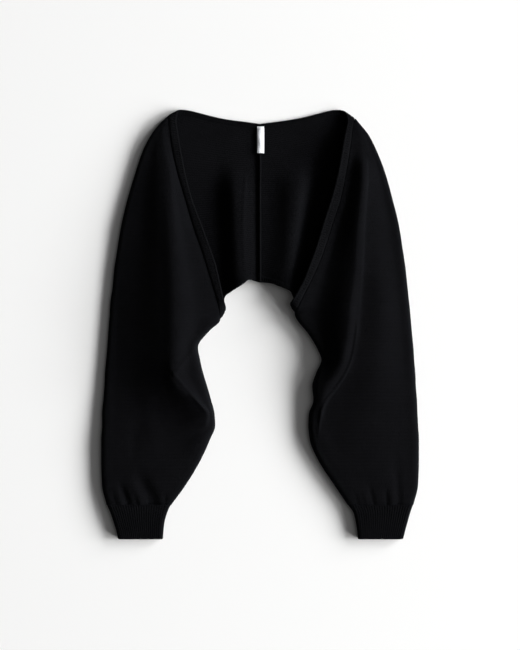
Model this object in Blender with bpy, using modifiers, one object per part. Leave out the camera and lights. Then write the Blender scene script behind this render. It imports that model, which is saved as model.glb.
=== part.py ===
import bmesh
import bpy
import numpy as np
from collections import namedtuple
from math import ceil, cos, pi, sqrt
from mathutils import Vector
from mathutils.geometry import interpolate_bezier

# Cropped shrug of fine knit, laid open on its back.
# Tables are in millimetres. x runs outwards from the centre back, y up to the neck, z off the table.
MM = 0.001
SHIFT_Y = -0.25

# Thickness of each knitted wall, and the space left where two pieces are linked.
KNIT_WALL = 1.8
BAND_WALL = 2.6
CUFF_WALL = 2.4
SEAM_WALL = 2.6
LABEL_WALL = 1.0
SEAM_GAP = 0.3
BAND_GAP = 0.9

# How far a folded edge takes to roll down to the table, and how round its shoulder is.
ROLL = 6.0
ROLL_SHARE = 0.3
SHOULDER = 4.5
SHOULDER_SHARE = 0.4
SHOULDER_FULL = 0.8
EDGE_DIP = 6.0

# The inner edge is rounder where the sleeve is a closed tube than beside the open front.
OPEN_FULL = 0.35
CLOSED_FULL = 0.75
PARTING = 5.0

# Rows along a half are no further apart than this.
ROW_STEP = 22.0
MERGE = 0.00000005

# Where the bands meet at the underarm: in from the weld, up from it, and above or below it.
UNDERARM_IN = 0.3
UNDERARM_UP = 1.6
UNDERARM_TURN = 1.7

# The band stands off the last bit of the neck, where it turns over the shoulder.
TURN_RAISE = 1.2
TURN_FADE = 9.0

# Columns of a half: segments between the named points of its front, then of its back.
FRONT_SPANS = (1, 2, 2, 3, 3, 3, 2, 1)
BACK_STEPS = (0.0, 0.012, 0.03, 0.18, 0.34, 0.47, 0.55, 0.62, 0.68, 0.735,
              0.785, 0.83, 0.875, 0.915, 0.955, 0.985, 1.0)

# One row per section of a half, from the cuff seam up to the shoulder point.
Section = namedtuple("Section", "y outer puff_x puff_z body_x body_z foot_x foot_z "
                                "crest_x crest_z mid_x mid_z inner inner_z inner_y")
# The end of a half on its back layer, and the free edge of the band beyond it.
Ending = namedtuple("Ending", "y end_x end_y edge_x edge_y")
FrontEdge = namedtuple("FrontEdge", "y edge_x edge_y edge_z")
# A point of the band where it turns over the shoulder: across the last section, then its edge.
Turn = namedtuple("Turn", "column edge_x edge_y edge_z")
# A standing fold of the back: its line, its height at the hem and its reach to each side.
Flute = namedtuple("Flute", "neck_x hem_x top_y full_y height inward outward")
# A gather above the cuff: its line, its depth and its half width.
Gather = namedtuple("Gather", "cuff_x top_x top_y depth half_width")
CuffRing = namedtuple("CuffRing", "y outer inner height")

LEFT_SECTIONS = (
    Section(-315.2, 267.0, 252.0, 13.0, 236.0, 13.1, 220.0, 13.2, 193.0, 13.2, 172.0, 13.0, 156.0, 7.0, -315.2),
    Section(-281.0, 275.0, 256.0, 13.5, 240.0, 14.0, 220.0, 15.0, 184.0, 16.5, 156.0, 16.0, 131.0, 7.5, -281.0),
    Section(-238.0, 276.5, 256.0, 13.5, 236.0, 14.5, 200.0, 16.5, 150.0, 17.0, 122.0, 17.0, 105.0, 8.0, -238.0),
    Section(-203.0, 276.5, 255.0, 13.5, 234.0, 14.3, 195.0, 16.0, 130.0, 17.5, 104.0, 20.5, 89.0, 8.0, -203.0),
    Section(-176.0, 275.0, 253.0, 12.5, 232.0, 14.0, 150.0, 17.5, 97.0, 25.0, 88.0, 21.5, 79.0, 8.5, -176.0),
    Section(-157.0, 275.0, 252.0, 12.0, 226.0, 14.5, 140.0, 22.0, 93.0, 32.0, 87.0, 25.5, 80.0, 9.5, -157.0),
    Section(-133.0, 273.0, 251.0, 11.5, 218.0, 15.0, 160.0, 26.0, 112.0, 39.5, 100.5, 30.0, 86.0, 10.5, -133.0),
    Section(-108.0, 271.0, 249.0, 11.0, 213.0, 16.8, 165.0, 31.0, 139.0, 40.5, 114.0, 28.5, 93.0, 11.0, -108.0),
    Section(-85.0, 270.0, 248.0, 10.5, 212.0, 18.0, 166.0, 34.5, 149.0, 41.0, 124.0, 29.5, 100.0, 11.0, -85.0),
    Section(-63.0, 268.0, 248.0, 10.5, 212.0, 19.0, 168.0, 35.0, 147.5, 41.0, 124.0, 30.0, 105.0, 11.5, -63.0),
    Section(-40.0, 266.0, 248.0, 10.5, 212.0, 20.0, 170.0, 34.5, 146.0, 41.0, 125.0, 31.0, 109.0, 12.0, -40.0),
    Section(-10.0, 264.0, 248.0, 10.5, 212.0, 19.5, 170.0, 34.0, 145.0, 40.5, 112.0, 27.0, 88.0, 10.0, -10.0),
    Section(8.0, 262.5, 247.0, 10.5, 212.0, 19.5, 170.0, 34.0, 145.0, 40.5, 107.0, 24.5, 70.0, 8.0, 8.0),
    Section(13.0, 262.0, 247.0, 10.5, 212.0, 19.5, 170.0, 34.0, 145.0, 40.5, 107.0, 24.5, 70.5, 14.0, 13.0),
    Section(34.0, 261.0, 246.5, 10.5, 211.0, 18.5, 170.0, 33.5, 145.0, 40.0, 108.0, 25.0, 74.0, 17.5, 34.0),
    Section(63.0, 257.0, 243.0, 11.0, 210.0, 17.5, 171.0, 32.5, 145.0, 39.0, 113.0, 25.0, 82.0, 18.0, 63.0),
    Section(95.0, 254.0, 240.0, 11.5, 209.0, 16.0, 172.0, 30.5, 147.0, 36.5, 119.0, 24.0, 92.0, 17.0, 95.0),
    Section(121.0, 250.0, 237.0, 11.5, 207.0, 15.5, 173.0, 28.5, 149.0, 34.5, 125.0, 22.5, 100.0, 15.0, 121.0),
    Section(170.0, 242.0, 229.0, 11.5, 203.0, 14.5, 174.0, 25.5, 151.5, 30.5, 135.0, 20.5, 117.0, 12.0, 170.0),
    Section(217.0, 231.0, 219.0, 11.5, 199.0, 14.0, 175.0, 22.5, 155.0, 26.0, 143.0, 19.0, 131.0, 12.0, 217.0),
    Section(261.0, 218.0, 208.0, 11.0, 194.0, 13.0, 175.0, 19.0, 158.0, 21.0, 151.0, 17.0, 144.0, 11.5, 261.0),
    Section(305.0, 203.0, 194.5, 11.0, 187.0, 12.0, 178.0, 14.5, 167.0, 16.0, 160.0, 14.0, 154.0, 11.0, 305.0),
    Section(332.0, 188.5, 182.0, 11.2, 179.0, 11.6, 176.0, 12.0, 169.5, 13.0, 163.5, 11.8, 158.0, 10.5, 332.0),
    Section(348.0, 176.5, 173.0, 10.2, 171.5, 10.6, 170.0, 10.9, 166.0, 11.1, 162.5, 10.6, 159.0, 10.0, 348.0),
    Section(361.5, 163.5, 162.6, 8.5, 162.2, 8.8, 161.8, 9.0, 161.0, 9.2, 160.2, 9.1, 159.5, 9.0, 357.0),
)

RIGHT_SECTIONS = (
    Section(-315.2, 267.0, 252.0, 13.0, 225.0, 13.3, 200.0, 13.3, 185.0, 13.2, 172.0, 13.0, 154.0, 7.0, -315.2),
    Section(-281.0, 275.0, 257.0, 15.0, 222.0, 17.5, 185.0, 16.5, 165.0, 16.0, 150.0, 15.0, 131.0, 7.5, -281.0),
    Section(-238.0, 276.5, 257.0, 16.5, 200.0, 19.5, 150.0, 17.0, 132.0, 16.0, 120.0, 15.0, 103.0, 7.5, -238.0),
    Section(-203.0, 276.5, 256.0, 17.5, 190.0, 21.5, 130.0, 17.0, 113.0, 16.5, 103.0, 15.5, 88.0, 7.5, -203.0),
    Section(-176.0, 275.0, 255.0, 18.5, 195.0, 23.5, 118.0, 17.0, 105.0, 16.5, 97.0, 16.0, 85.0, 8.0, -176.0),
    Section(-157.0, 274.0, 254.0, 19.0, 200.0, 24.0, 115.0, 16.5, 106.0, 18.0, 98.0, 17.0, 86.0, 8.0, -157.0),
    Section(-133.0, 273.0, 253.0, 20.0, 200.0, 25.5, 123.0, 18.5, 109.0, 21.5, 102.0, 20.0, 94.0, 8.0, -133.0),
    Section(-108.0, 271.0, 251.0, 21.0, 200.0, 27.0, 139.0, 21.5, 118.0, 25.5, 103.0, 22.0, 92.0, 8.5, -108.0),
    Section(-85.0, 270.0, 249.0, 21.5, 202.0, 29.5, 152.5, 26.0, 134.0, 29.5, 112.0, 21.5, 99.0, 8.5, -85.0),
    Section(-62.0, 268.0, 248.0, 22.0, 204.0, 31.5, 160.0, 29.5, 142.0, 33.5, 119.0, 20.5, 108.0, 8.0, -62.0),
    Section(-45.0, 267.0, 247.0, 22.5, 206.0, 32.0, 163.0, 31.0, 145.0, 36.0, 116.0, 20.5, 102.0, 8.5, -45.0),
    Section(-19.0, 264.5, 245.0, 23.0, 208.0, 32.5, 168.0, 31.5, 150.0, 38.0, 110.0, 20.0, 87.0, 10.0, -19.0),
    Section(20.0, 261.0, 243.0, 23.0, 210.0, 32.5, 171.5, 31.5, 153.0, 38.5, 104.0, 20.0, 61.0, 13.5, 20.0),
    Section(26.0, 260.5, 242.0, 23.0, 210.0, 32.5, 172.0, 31.5, 153.5, 38.5, 104.0, 20.5, 64.5, 24.5, 26.0),
    Section(40.0, 259.0, 241.0, 22.5, 210.0, 32.0, 174.0, 31.5, 155.5, 38.5, 107.0, 21.0, 71.0, 26.0, 40.0),
    Section(69.0, 256.0, 237.0, 20.5, 207.0, 29.0, 177.0, 29.5, 159.0, 35.5, 113.0, 20.0, 86.0, 24.5, 69.0),
    Section(95.0, 253.5, 235.0, 18.5, 206.0, 26.0, 180.0, 27.0, 162.5, 33.0, 119.0, 18.5, 98.5, 22.5, 95.0),
    Section(130.0, 248.5, 231.0, 15.5, 205.0, 21.5, 181.5, 24.0, 165.5, 30.0, 129.0, 17.5, 112.5, 20.5, 130.0),
    Section(174.0, 241.5, 225.0, 13.5, 204.0, 18.0, 185.0, 21.5, 168.5, 27.5, 141.0, 17.0, 126.5, 19.0, 174.0),
    Section(217.0, 231.0, 217.0, 12.0, 202.0, 15.5, 188.0, 18.8, 173.0, 25.0, 152.0, 17.3, 140.5, 18.0, 217.0),
    Section(261.0, 219.0, 208.5, 11.5, 200.0, 13.5, 190.0, 16.5, 177.0, 21.5, 160.0, 16.8, 150.0, 16.5, 261.0),
    Section(305.0, 202.0, 195.0, 11.5, 191.0, 12.5, 186.0, 14.2, 176.0, 16.0, 165.0, 15.4, 157.0, 15.2, 305.0),
    Section(332.0, 188.0, 183.0, 11.3, 181.0, 11.8, 178.0, 12.5, 172.5, 13.2, 166.5, 12.9, 161.0, 12.5, 332.0),
    Section(347.0, 176.0, 173.5, 10.2, 172.5, 10.5, 171.5, 10.8, 169.0, 11.0, 166.0, 10.8, 163.0, 10.5, 346.0),
    Section(358.5, 166.5, 165.8, 8.5, 165.6, 8.8, 165.3, 9.0, 164.8, 9.3, 164.4, 9.3, 164.0, 9.2, 353.0),
)

LEFT_HEM = (
    Ending(8.0, 70.0, 8.0, 60.0, 27.0),
    Ending(15.0, 72.0, 20.0, 61.0, 33.0),
    Ending(24.0, 73.0, 32.0, 62.0, 38.0),
    Ending(34.0, 72.5, 44.0, 62.5, 43.0),
    Ending(47.0, 68.0, 56.0, 60.0, 50.0),
    Ending(60.0, 58.0, 65.0, 50.0, 57.0),
    Ending(77.0, 45.0, 72.5, 39.0, 64.0),
    Ending(95.0, 33.0, 79.0, 28.0, 71.0),
    Ending(110.0, 22.0, 84.0, 19.0, 78.0),
    Ending(125.0, 11.0, 86.0, 10.0, 75.5),
    Ending(140.0, 0.4, 86.5, 0.9, 73.0),
)

RIGHT_HEM = (
    Ending(20.0, 61.0, 20.0, 53.5, 34.0),
    Ending(27.0, 65.0, 31.0, 57.0, 38.5),
    Ending(36.0, 68.0, 42.0, 59.0, 43.0),
    Ending(47.0, 67.0, 53.0, 57.5, 48.5),
    Ending(60.0, 60.0, 64.0, 53.0, 57.5),
    Ending(77.0, 47.0, 71.5, 42.5, 62.5),
    Ending(95.0, 34.0, 77.0, 31.0, 67.0),
    Ending(110.0, 22.0, 81.0, 20.5, 71.0),
    Ending(125.0, 11.0, 84.0, 10.0, 72.5),
    Ending(140.0, 0.15, 86.5, 0.15, 73.0),
)

LEFT_NECK = (
    Ending(305.0, 0.15, 340.5, 0.15, 350.5),
    Ending(313.0, 24.0, 344.0, 24.0, 354.0),
    Ending(322.0, 49.5, 347.5, 49.0, 357.0),
    Ending(331.0, 74.0, 351.5, 72.0, 361.0),
    Ending(340.0, 102.0, 358.5, 100.0, 368.0),
    Ending(348.0, 123.0, 363.5, 122.0, 373.5),
    Ending(355.0, 140.0, 364.5, 132.0, 375.0),
    Ending(361.5, 155.0, 362.0, 138.0, 375.2),
)

RIGHT_NECK = (
    Ending(305.0, 0.15, 340.5, 0.15, 350.5),
    Ending(313.0, 24.0, 343.5, 24.0, 353.5),
    Ending(322.0, 49.5, 347.5, 49.0, 357.0),
    Ending(331.0, 74.0, 351.5, 72.0, 361.0),
    Ending(340.0, 102.0, 358.5, 100.0, 368.0),
    Ending(347.0, 124.0, 363.5, 122.0, 373.5),
    Ending(353.0, 142.0, 362.5, 132.0, 375.0),
    Ending(358.5, 157.0, 359.0, 138.5, 375.0),
)

LEFT_FRONT_EDGE = (
    FrontEdge(8.0, 60.0, 27.0, 8.0),
    FrontEdge(15.0, 59.5, 30.0, 13.0),
    FrontEdge(24.0, 60.5, 35.0, 16.0),
    FrontEdge(34.0, 62.5, 41.0, 17.5),
    FrontEdge(63.0, 68.5, 69.0, 17.5),
    FrontEdge(95.0, 76.0, 101.0, 16.0),
    FrontEdge(121.0, 85.0, 128.0, 14.0),
    FrontEdge(170.0, 102.5, 176.0, 12.0),
    FrontEdge(217.0, 119.5, 222.0, 11.0),
    FrontEdge(261.0, 130.5, 265.0, 10.5),
    FrontEdge(305.0, 138.5, 307.0, 10.0),
    FrontEdge(332.0, 142.5, 333.0, 9.8),
    FrontEdge(348.0, 145.0, 347.0, 9.5),
    FrontEdge(361.5, 146.0, 354.5, 9.3),
)

RIGHT_FRONT_EDGE = (
    FrontEdge(20.0, 53.5, 34.0, 14.0),
    FrontEdge(27.0, 52.5, 37.0, 23.0),
    FrontEdge(33.0, 55.0, 41.0, 27.5),
    FrontEdge(40.0, 59.0, 47.0, 28.5),
    FrontEdge(69.0, 74.5, 75.5, 24.5),
    FrontEdge(95.0, 85.0, 101.5, 24.0),
    FrontEdge(130.0, 97.5, 135.5, 22.5),
    FrontEdge(174.0, 111.0, 180.0, 21.0),
    FrontEdge(217.0, 124.5, 222.0, 20.0),
    FrontEdge(261.0, 135.5, 264.5, 19.0),
    FrontEdge(305.0, 143.0, 307.0, 17.5),
    FrontEdge(332.0, 148.0, 334.0, 14.0),
    FrontEdge(347.0, 151.0, 348.0, 11.0),
    FrontEdge(358.5, 152.0, 355.5, 9.7),
)

# The band's edge while it turns over the shoulder, from the front to the neck.
LEFT_TURN = (Turn(9, 145.0, 366.0, 8.6), Turn(0, 143.0, 373.8, 5.6))
RIGHT_TURN = (Turn(9, 151.0, 365.0, 8.8), Turn(0, 146.0, 372.8, 5.6))

# Standing folds of the back; the low one at the seam is shared by both halves.
FLUTE_FOOT_Y = 75.0
SEAM_FLUTE = Flute(0.0, 0.0, 290.0, 205.0, 7.5, 42.0, 42.0)
LEFT_FLUTES = (SEAM_FLUTE, Flute(45.0, 35.0, 305.0, 215.0, 14.5, 45.0, 36.0))
RIGHT_FLUTES = (SEAM_FLUTE, Flute(72.0, 47.0, 305.0, 215.0, 17.5, 62.0, 32.0))

# Gathers of the sleeves where they are linked to the cuffs, full after the first fifth of their length.
GATHER_START = 0.2
LEFT_GATHERS = (
    Gather(218.0, 250.0, -255.0, -2.6, 10.0),
    Gather(186.0, 216.0, -255.0, -2.4, 9.0),
    Gather(173.0, 180.0, -290.0, -1.6, 8.0),
)
RIGHT_GATHERS = (
    Gather(206.0, 199.0, -245.0, -2.4, 10.0),
    Gather(245.0, 240.0, -238.0, -2.6, 9.0),
    Gather(225.0, 222.0, -285.0, -1.6, 8.0),
)

# Cuffs: rings from the seam down to the hem, and the count of raised ribs round each.
LEFT_CUFF = (
    CuffRing(-316.0, 267.0, 156.0, 14.0),
    CuffRing(-329.0, 261.5, 162.0, 14.0),
    CuffRing(-345.0, 256.0, 166.5, 13.5),
    CuffRing(-361.0, 251.0, 168.5, 13.0),
    CuffRing(-375.0, 248.0, 169.5, 12.5),
)
RIGHT_CUFF = (
    CuffRing(-316.0, 267.0, 154.0, 14.0),
    CuffRing(-329.0, 262.5, 163.0, 14.0),
    CuffRing(-345.0, 258.0, 167.0, 13.5),
    CuffRing(-361.0, 253.5, 169.5, 13.0),
    CuffRing(-375.0, 250.0, 171.0, 12.5),
)
RIB_COUNT = 52
RIB_RISE = 0.6
# A cuff's outline is drawn this finely before the ribs are set out on it; it is pressed flat below.
OUTLINE_STEPS = 40
PRESSED = 0.1

# Centre back: the linked ridge and the blank woven label at the neck.
SEAM_ROWS = 20
LABEL_ROWS = 12
LABEL_COLUMNS = 4
LABEL_CLEAR = 0.4
SEAM_CLEAR = 0.6
SEAM_HALF_WIDTH = 1.8
SEAM_TOP_Y = 339.0
SEAM_HEM_Y = 87.5
LABEL_X = (-5.2, 7.0)
LABEL_Y = (300.0, 347.0)
LABEL_CAUGHT_Y = 342.0
LABEL_DROOP = 0.022


def curve_value(keys, values, at):
    # A smooth curve through the rows of a table that never swings past them.
    steps = np.diff(keys)
    slopes = np.diff(values) / steps
    tangents = np.empty(len(keys))
    tangents[0] = slopes[0]
    tangents[-1] = slopes[-1]
    for i in range(1, len(keys) - 1):
        before = slopes[i - 1]
        after = slopes[i]
        same_way = before * after > 0.0
        tangents[i] = 2.0 * before * after / (before + after) if same_way else 0.0
    i = int(np.clip(np.searchsorted(keys, at) - 1, 0, len(steps) - 1))
    t = (at - keys[i]) / steps[i]
    rise = steps[i] * (tangents[i] * t * (1.0 - t) ** 2 - tangents[i + 1] * t * t * (1.0 - t))
    return float(values[i] + (values[i + 1] - values[i]) * t * t * (3.0 - 2.0 * t) + rise)


def table_row(table, y):
    keys = [row.y for row in table]
    values = [y]
    for column in list(zip(*table))[1:]:
        values.append(curve_value(keys, column, y))
    return type(table[0])(*values)


def smooth_step(low, high, value):
    t = min(max((value - low) / (high - low), 0.0), 1.0)
    return t * t * (3.0 - 2.0 * t)


def bump(distance, half_width):
    if abs(distance) >= half_width:
        return 0.0
    return 0.5 * (1.0 + cos(pi * distance / half_width))


def roll_up(distance, reach):
    # 1 at a folded edge, 0 once the layer lies on the table.
    t = min(max(1.0 - distance / reach, 0.0), 1.0)
    return 1.0 - sqrt(1.0 - t * t)


def back_height(side, x, y):
    # Middle of the back layer: flat on the table except for its standing folds.
    z = 0.5 * KNIT_WALL
    for flute in side["flutes"]:
        grown = 1.0 - smooth_step(flute.full_y, flute.top_y, y)
        drift = min(max((flute.top_y - y) / (flute.top_y - FLUTE_FOOT_Y), 0.0), 1.0)
        line = flute.neck_x + (flute.hem_x - flute.neck_x) * drift
        reach = min(flute.inward, line) if x < line else flute.outward
        z += flute.height * grown * bump(x - line, reach)
    return z


def gather_height(side, x, y):
    z = 0.0
    cuff_y = side["sections"][0].y
    for gather in side["gathers"]:
        if y < gather.top_y:
            t = (y - cuff_y) / (gather.top_y - cuff_y)
            line = gather.cuff_x + (gather.top_x - gather.cuff_x) * t
            z += gather.depth * smooth_step(0.0, GATHER_START, t) * (1.0 - t) * bump(x - line, gather.half_width)
    return z


def section_curve(knots, spans, before, after):
    # A rounded line through the named points of a section.
    ring = [before] + knots + [after]
    points = [knots[0]]
    for i, count in enumerate(spans):
        start, end = ring[i + 1], ring[i + 2]
        reach = (end - start).length / 3.0
        leave = (end - ring[i]).normalized() * reach
        arrive = (ring[i + 3] - start).normalized() * reach
        points += interpolate_bezier(start, start + leave, end - arrive, end, count + 1)[1:]
    return points


def closed_share(side, y):
    # 1 where the sleeve is a closed tube, 0 once the front and the back have parted.
    underarm = side["hem"][0].y
    return 1.0 - smooth_step(underarm, underarm + PARTING, y)


def back_end(side, y):
    hem, neck = side["hem"], side["neck"]
    if y <= hem[0].y:
        row = table_row(side["sections"], y)
        return Vector((row.inner, row.inner_y))
    if y <= hem[-1].y:
        row = table_row(hem, y)
    elif y >= neck[0].y:
        row = table_row(neck, y)
    else:
        t = (y - hem[-1].y) / (neck[0].y - hem[-1].y)
        return Vector((hem[-1].end_x, hem[-1].end_y + (neck[0].end_y - hem[-1].end_y) * t))
    return Vector((row.end_x, row.end_y))


def front_points(side, y):
    row = table_row(side["sections"], y)
    outer_z = 0.5 * (row.puff_z + 0.5 * KNIT_WALL)
    edge = min(SHOULDER, SHOULDER_SHARE * (row.outer - row.puff_x))
    inner = min(SHOULDER, SHOULDER_SHARE * (row.mid_x - row.inner))
    share = OPEN_FULL + (CLOSED_FULL - OPEN_FULL) * closed_share(side, y)
    knots = [
        (row.outer, outer_z),
        (row.outer - edge, outer_z + SHOULDER_FULL * (row.puff_z - outer_z)),
        (row.puff_x, row.puff_z),
        (row.body_x, row.body_z),
        (row.foot_x, row.foot_z),
        (row.crest_x, row.crest_z),
        (row.mid_x, row.mid_z),
        (row.inner + inner, row.inner_z + share * (row.mid_z - row.inner_z)),
        (row.inner, row.inner_z),
    ]
    width = max(row.outer - row.inner, 1.0)
    knots = [Vector((x, y + (row.inner_y - y) * (row.outer - x) / width, z)) for x, z in knots]
    below = Vector((0.0, 0.0, -EDGE_DIP))
    onward = (knots[-1] - knots[-2]).lerp(below, closed_share(side, y))
    points = section_curve(knots, FRONT_SPANS, knots[0] + below, knots[-1] + onward)
    return [Vector((p.x, p.y, p.z + gather_height(side, p.x, p.y))) for p in points]


def back_points(side, y, fold, weld):
    # From the point after the overarm fold to the end of the back layer.
    end = back_end(side, y)
    start = Vector((fold.x, fold.y))
    width = (end - start).length
    reach = min(ROLL, ROLL_SHARE * width)
    closed = closed_share(side, y)
    points = []
    for step in BACK_STEPS[1:]:
        place = start.lerp(end, step)
        z = back_height(side, place.x, place.y)
        z += (fold.z - z) * roll_up(step * width, reach)
        z += (weld.z - z) * roll_up((1.0 - step) * width, reach) * closed
        points.append(Vector((place.x, place.y, z)))
    return points


def section_points(side, y):
    # One whole section: the front from its inner end to the overarm fold, then the back.
    front = front_points(side, y)
    return front[::-1] + back_points(side, y, front[0], front[-1])


def row_stations(side):
    keys = {row.y for row in side["sections"]}
    keys.update((side["hem"][-1].y, side["neck"][0].y))
    keys = sorted(keys)
    stations = [keys[0]]
    for low, high in zip(keys, keys[1:]):
        count = ceil((high - low) / ROW_STEP)
        stations += [low + (high - low) * (i + 1) / count for i in range(count)]
    return stations


def place(side, point):
    return Vector((side["sign"] * point.x, point.y + SHIFT_Y, point.z)) * MM


def make_material(name, colour, roughness):
    material = bpy.data.materials.new(name)
    material.use_nodes = True
    shader = material.node_tree.nodes["Principled BSDF"]
    shader.inputs["Base Color"].default_value = (*colour, 1.0)
    shader.inputs["Roughness"].default_value = roughness
    shader.inputs["Metallic"].default_value = 0.0
    return material


def sheet_object(name, rows, material, wall, weld_sides=False, weld_ends=False):
    # A sheet through the rows of points, given its wall unless it is already a closed skin.
    bm = bmesh.new()
    across = len(rows[0])
    bmesh.ops.create_grid(bm, x_segments=across - 1, y_segments=len(rows) - 1, size=0.5)
    bm.verts.ensure_lookup_table()
    for r, row in enumerate(rows):
        for c, point in enumerate(row):
            bm.verts[r * across + c].co = point
    if weld_sides or weld_ends:
        bmesh.ops.remove_doubles(bm, verts=bm.verts, dist=MERGE)
    bmesh.ops.recalc_face_normals(bm, faces=bm.faces)
    for face in bm.faces:
        face.smooth = True
    mesh = bpy.data.meshes.new(name)
    bm.to_mesh(mesh)
    bm.free()
    mesh.materials.append(material)
    item = bpy.data.objects.new(name, mesh)
    parts.objects.link(item)
    if wall > 0.0:
        solidify = item.modifiers.new("wall", "SOLIDIFY")
        solidify.thickness = wall * MM
        solidify.offset = 0.0
        solidify.use_rim = True
    return item


def make_half(side):
    rows = []
    for y in row_stations(side):
        rows.append([place(side, point) for point in section_points(side, y)])
    return sheet_object("half_" + side["name"], rows, side["knit"], KNIT_WALL, weld_sides=True)


def band_row(side, before, inner, edge):
    # Across the band, carrying on the slope of the half it is linked to.
    width = (edge - inner).length
    slope = (inner - before).normalized()
    start = inner + slope * BAND_GAP
    arrive = edge - (edge - inner) / 3.0
    row = interpolate_bezier(start, start + slope * (width / 3.0), arrive, edge, 4)
    return [place(side, point) for point in row]


def underarm_row(side, turn):
    # The end of a band at the underarm seam, where the front and the back part.
    weld = front_points(side, side["hem"][0].y)[-1]
    row = side["hem"][0]
    start = Vector((weld.x - UNDERARM_IN, weld.y + UNDERARM_UP, weld.z + turn))
    edge = Vector((row.edge_x, row.edge_y, weld.z + turn))
    return [place(side, start.lerp(edge, step)) for step in (0.0, 0.33, 0.67, 1.0)]


def make_edge_band(side):
    # Up the front edge, over the shoulder point and along the neck to the centre back.
    underarm = side["hem"][0].y
    stations = [y for y in row_stations(side) if y > underarm]
    last = stations[-1]
    rows = [underarm_row(side, UNDERARM_TURN)]
    for y in stations:
        row = table_row(side["front_edge"], y)
        front = front_points(side, y)
        inner = front[-1]
        edge = Vector((row.edge_x, row.edge_y, row.edge_z))
        before = front[-2] if y < last else inner - (edge - inner).normalized()
        rows.append(band_row(side, before, inner, edge))
    for turn in side["turn"]:
        edge = Vector((turn.edge_x, turn.edge_y, turn.edge_z))
        inner = front[turn.column]
        slope = (edge - inner).normalized()
        rows.append(band_row(side, inner - slope, inner, edge))
    lift = Vector((0.0, 0.0, 0.5 * (BAND_WALL - KNIT_WALL)))
    for y in reversed([y for y in stations if y >= side["neck"][0].y]):
        row = table_row(side["neck"], y)
        back = section_points(side, y)
        raised = TURN_RAISE * smooth_step(last - TURN_FADE, last, y)
        edge = Vector((row.edge_x, row.edge_y, back_height(side, row.edge_x, row.edge_y) + raised))
        inner = back[-1]
        slope = (edge - inner).normalized()
        rows.append(band_row(side, inner + lift - slope, inner + lift, edge + lift))
    return sheet_object("edge_band_" + side["name"], rows, side["band"], BAND_WALL)


def make_hem_band(side):
    # Along the lower edge of the back, from the underarm to the centre back.
    underarm = side["hem"][0].y
    lift = Vector((0.0, 0.0, 0.5 * (BAND_WALL - KNIT_WALL)))
    rows = [underarm_row(side, -UNDERARM_TURN)]
    for y in [y for y in row_stations(side) if underarm < y <= side["hem"][-1].y]:
        row = table_row(side["hem"], y)
        edge = Vector((row.edge_x, row.edge_y, back_height(side, row.edge_x, row.edge_y)))
        inner = section_points(side, y)[-1]
        slope = (edge - inner).normalized()
        rows.append(band_row(side, inner + lift - slope, inner + lift, edge + lift))
    return sheet_object("hem_band_" + side["name"], rows, side["band"], BAND_WALL)


def cuff_outline(outer, inner, height, inset):
    # A flattened tube: flat on the table, rounded at both sides, slightly full on top.
    radius = 0.5 * height - inset
    left = inner + 0.5 * height
    right = outer - 0.5 * height
    middle = 0.5 * height
    dense = []
    for i in range(OUTLINE_STEPS + 1):
        dense.append((left + (right - left) * i / OUTLINE_STEPS, inset))
    for i in range(1, OUTLINE_STEPS):
        angle = -0.5 * pi + pi * i / OUTLINE_STEPS
        dense.append((right + radius * cos(angle), middle + radius * np.sin(angle)))
    for i in range(OUTLINE_STEPS + 1):
        dense.append((right + (left - right) * i / OUTLINE_STEPS, height - inset))
    for i in range(1, OUTLINE_STEPS):
        angle = 0.5 * pi + pi * i / OUTLINE_STEPS
        dense.append((left + radius * cos(angle), middle + radius * np.sin(angle)))
    dense = np.array(dense + dense[:1])
    walked = np.concatenate(([0.0], np.cumsum(np.hypot(*np.diff(dense, axis=0).T))))
    even = np.linspace(0.0, walked[-1], 2 * RIB_COUNT + 1)
    return np.column_stack((np.interp(even, walked, dense[:, 0]), np.interp(even, walked, dense[:, 1])))


def cuff_ring(side, ring, inset, rise):
    outline = cuff_outline(ring.outer, ring.inner, ring.height, inset)
    lowered = cuff_outline(ring.outer, ring.inner, ring.height, inset + rise)
    points = []
    for i in range(len(outline)):
        furrow = i % 2 == 1 and outline[i][1] > inset + PRESSED
        x, z = lowered[i] if furrow else outline[i]
        points.append(place(side, Vector((float(x), ring.y, float(z)))))
    return points


def make_cuff(side):
    # Ribs stand on the outside of the wall over a plain inside, pressed flat where they rest.
    rows = [cuff_ring(side, ring, 0.0, RIB_RISE) for ring in side["cuff"]]
    rows += [cuff_ring(side, ring, CUFF_WALL, 0.0) for ring in reversed(side["cuff"])]
    rows.append(rows[0])
    return sheet_object("cuff_" + side["name"], rows, side["rib"], 0.0, weld_sides=True, weld_ends=True)


def make_centre_seam(side):
    # The linked ridge standing on the inside of the centre back.
    rise = 0.5 * KNIT_WALL + SEAM_CLEAR + 0.5 * SEAM_WALL
    rows = []
    for i in range(SEAM_ROWS + 1):
        y = SEAM_HEM_Y + (SEAM_TOP_Y - SEAM_HEM_Y) * i / SEAM_ROWS
        row = []
        for x in (-SEAM_HALF_WIDTH, 0.0, SEAM_HALF_WIDTH):
            row.append(place(side, Vector((x, y, back_height(side, abs(x), y) + rise))))
        rows.append(row)
    return sheet_object("centre_back_seam", rows, side["band"], SEAM_WALL)


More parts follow.
